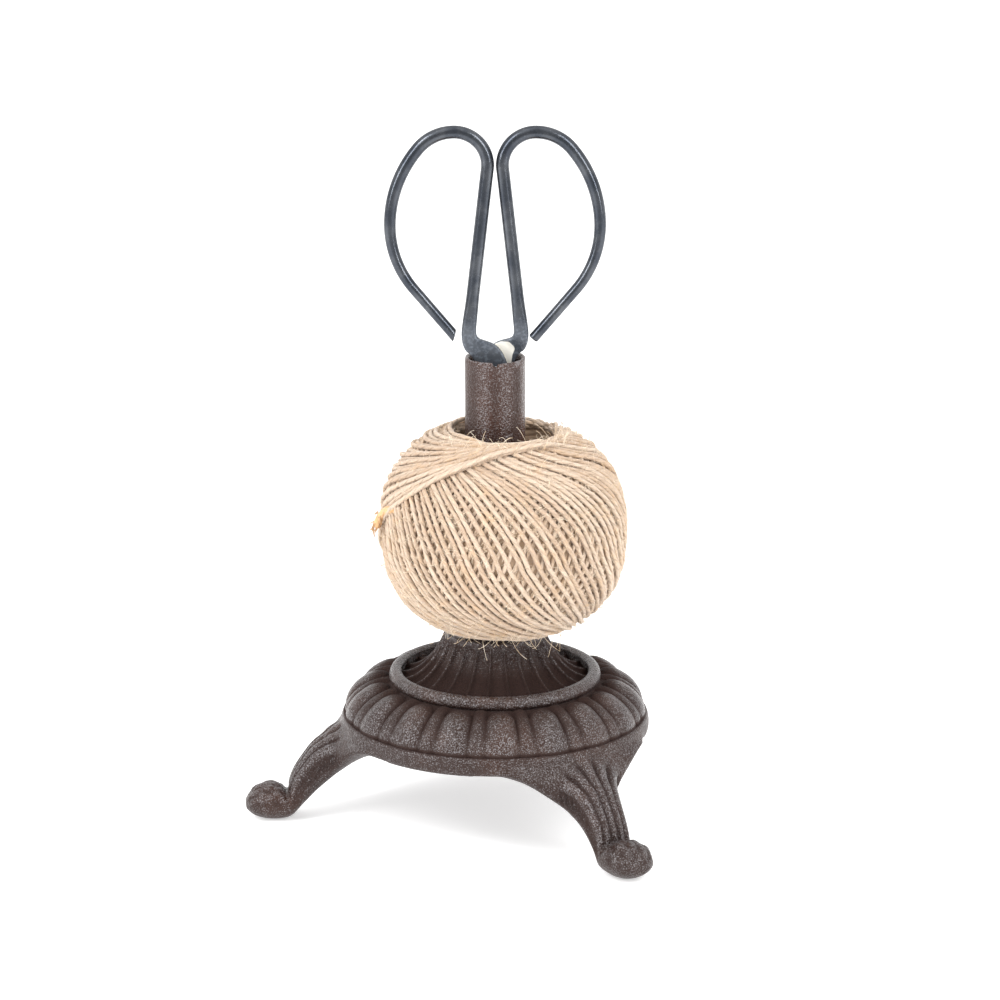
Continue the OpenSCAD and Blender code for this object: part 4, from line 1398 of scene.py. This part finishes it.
    def hair_tree(self) -> bpy.types.NodeTree:
        """Builds the tree that scatters fine curled fibres over a surface.

        Returns:
            The tree.
        """
        g = new_tree("stray_fibres", "Surface", {
            "Count": "Int", "Length": "Float", "Hair Radius": "Float", "Curl": "Float", "Stand": "Float",
            "Seed": "Int"})
        given = g.add("NodeGroupInput").outputs
        seed = given["Seed"]
        spread = g.add("GeometryNodeDistributePointsOnFaces", {
            "Mesh": given["Surface"], "Density": self.hairs_per_m2, "Seed": seed}, distribute_method="RANDOM").outputs
        total = g.out("GeometryNodeAttributeDomainSize", {0: spread["Points"]}, component="POINTCLOUD")
        drop = g.math("GREATER_THAN", g.chance(seed, {}), g.math("DIVIDE", given["Count"], total))
        spots = g.out("GeometryNodeDeleteGeometry", {"Geometry": spread["Points"], "Selection": drop}, domain="POINT")
        line = g.out("GeometryNodeCurvePrimitiveLine", {"End": g.join(z=given["Length"])})
        line = g.out("GeometryNodeResampleCurve", {"Curve": line, "Count": self.hair_points})
        lean, _, spin = g.parts(g.chance(
            seed, {"Min": (-1.0, -1.0, 0.0), "Max": (1.0, 1.0, TAU)}, "FLOAT_VECTOR", 0))
        tip = g.join(g.less(1.45, g.times(given["Stand"], g.math("ABSOLUTE", lean))), 0.0, spin)
        turn = g.out("FunctionNodeRotateEuler", {"Rotation": spread["Rotation"], "Rotate By": tip}, space="LOCAL")
        hairs = g.out("GeometryNodeInstanceOnPoints", {
            "Points": spots, "Instance": line, "Rotation": turn,
            "Scale": g.chance(seed, {"Min": 0.35, "Max": 1.0})})
        hairs = g.out("GeometryNodeRealizeInstances", {"Geometry": hairs})
        reach = g.times(g.out("GeometryNodeSplineParameter"), given["Curl"])
        bend = g.wander(g.out("GeometryNodeInputPosition"), self.curl_per_m, reach)
        hairs = g.out("GeometryNodeSetPosition", {"Geometry": hairs, "Offset": bend})
        ring = g.ring(self.hair_sides, given["Hair Radius"])
        g.add("NodeGroupOutput", {0: g.out("GeometryNodeSetShadeSmooth", {"Geometry": g.sweep(hairs, ring)})})
        return g.tree

    def fuzz(self) -> Piece:
        """Scatters stray fibres over the ball's outside and over the front edge of its hole.

        Returns:
            The fibres.
        """
        rows = self.core(self.fuzz_level, self.hole_r + self.fuzz_gap)[6:self.skin_rows]
        points = turned(rows[:, :1], circle(self.fuzz_columns), rows[:, 1:]) + np.array(self.centre)
        piece = mesh_piece("twine_fuzz", points, grid_faces(len(rows), self.fuzz_columns))
        return set_tree(piece, self.hair_tree(), {
            "Count": self.hairs, "Length": self.hair_l * MM, "Hair Radius": self.hair_r * MM,
            "Curl": self.hair_curl * MM, "Stand": self.hair_stand, "Seed": self.seed,
        })

    def build(self) -> None:
        """Winds the layers of the ball and dresses them."""
        tree = self.strand_tree()
        dress(self.inside(), JUTE, Body.BALL, Slot.JUTE, "twine_core")
        copies = self.loops // len(self.lay)
        layers = (
            ("twine_climbing", JUTE, self.loop_paths(*self.climb), copies, self.twine_r, 0.04),
            ("twine_falling", JUTE, self.loop_paths(*self.fall), copies, self.twine_r, 0.0),
            ("twine_band", JUTE, self.band_paths(), 1, self.twine_r, 0.0),
            ("twine_tail", FRAYED, [self.tail_path()], 1, self.tail_r, 0.0),
            ("twine_fray", FRAYED, self.fray_paths(), 1, self.fray_r, 0.0),
            ("twine_wisps", FIBRE, self.wisp_paths(), 1, self.wisp_r, 0.0),
        )
        for number, (name, finish, paths, count, radius, depth) in enumerate(layers):
            piece = self.wind(name, tree, paths, count, radius, depth, self.seed + number)
            dress(piece, finish, Body.BALL, Slot.JUTE, *(("twine_winding",) if name == "twine_falling" else ()))
        dress(self.fuzz(), FIBRE, Body.BALL, Slot.JUTE)


@dataclass
class Fixings:
    """The frame's own fixings, which keep their shapes and get their finish."""

    steel: Sequence[str] = ("post_plug", "fixing_bolt", "flat_washer", "pivot_rivet", "rivet_washer")
    blued: Sequence[str] = ("spring_washer",)

    def build(self) -> None:
        """Gives each fixing its material."""
        for names, finish in ((self.steel, STEEL), (self.blued, GUNMETAL)):
            for name in names:
                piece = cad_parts[name]
                piece.data.materials.clear()
                piece.data.materials.append(finish.material())
                LOG.info("%s: frame node, %s", name, finish.name)


@dataclass
class Studio:
    """Camera at the photograph's angle, pale floor and soft lights. Millimetres and watts."""

    eye: Triple = (0.0, -1500.0, 543.56)
    aim: Triple = (0.0, 0.0, 120.46)
    lens: float = 153.07
    sensor: float = 36.0
    clip_m: Pair = (0.05, 50.0)
    shift_x: float = 0.005
    floor: float = 6000.0
    floor_z: float = -0.4
    floor_points: int = 5
    sky_front: float = 0.6
    sky_back: float = 1.3
    sky_turn: Pair = (-0.75, 0.45)
    boxes: Sequence[tuple[str, Triple, Pair, float]] = (
        ("left_box", (-900.0, -660.0, 700.0), (300.0, 1100.0), 11.5),
        ("right_box", (820.0, -780.0, 650.0), (240.0, 1100.0), 10.0),
        ("top_box", (0.0, -100.0, 1300.0), (700.0, 700.0), 1.0),
    )
    suns: Sequence[tuple[str, Triple, float]] = (
        ("key", (-0.55, -0.5, 0.85), 0.58),
        ("fill", (0.6, -0.45, 0.8), 0.36),
    )
    sun_angle: float = math.radians(55.0)

    def camera(self) -> None:
        """Places the camera."""
        data = bpy.data.cameras.new("camera")
        data.lens, data.sensor_width, data.shift_x = self.lens, self.sensor, self.shift_x
        data.clip_start, data.clip_end = self.clip_m
        camera = put("camera", data)
        camera.location = Vector(self.eye) * MM
        aim_at(camera, Vector(self.aim) * MM - camera.location)
        bpy.context.scene.camera = camera

    def lights(self) -> None:
        """Adds the soft boxes that look at the object and the broad lights that fall evenly on all."""
        for name, place, size, watts in self.boxes:
            data = bpy.data.lights.new(name, "AREA")
            data.shape, data.size, data.size_y = "RECTANGLE", size[0] * MM, size[1] * MM
            data.energy = watts
            light = put(name, data)
            light.location = Vector(place) * MM
            aim_at(light, Vector(self.aim) * MM - light.location)
        for name, way, strength in self.suns:
            data = bpy.data.lights.new(name, "SUN")
            data.energy, data.angle = strength, self.sun_angle
            aim_at(put(name, data), -Vector(way))

    def sky(self) -> None:
        """Builds the white sky, which is brighter behind the object."""
        world = bpy.data.worlds.new("sky")
        world.use_nodes = True
        world.node_tree.nodes.clear()
        g = Graph(world.node_tree)
        way = g.parts(g.out("ShaderNodeTexCoord", None, "Generated"))[1]
        strength = g.plus(self.sky_front, g.times(g.ramp(way, *self.sky_turn), self.sky_back - self.sky_front))
        g.add("ShaderNodeOutputWorld", {0: g.out("ShaderNodeBackground", {"Color": WHITE, "Strength": strength})})
        bpy.context.scene.world = world

    def build(self) -> None:
        """Builds floor, lights, sky and camera."""
        self.camera()
        spread = np.linspace(-self.floor, self.floor, self.floor_points)
        points = [(x, y, self.floor_z) for y in spread for x in spread]
        faces = grid_faces(self.floor_points, self.floor_points, False, False)
        floor = mesh_piece("floor", np.array(points), faces, smooth=False)
        floor.data.materials.append(WhitePaper().material())
        self.lights()
        self.sky()
        bpy.context.scene.view_settings.view_transform = "Standard"


def main() -> None:
    """Builds the scene."""
    logging.basicConfig(level=logging.INFO, format="%(name)s %(message)s")
    Studio().build()
    CastBase().build()
    PostTube().build()
    TwineBall().build()
    ScissorHalf("scissor_left_forged", "scissor_half_front", Body.LEFT, -1.0, 2.6).build()
    ScissorHalf("scissor_right_forged", "scissor_half_rear", Body.RIGHT, 1.0, 0.0).build()
    Fixings().build()


if __name__ == "__main__":
    main()
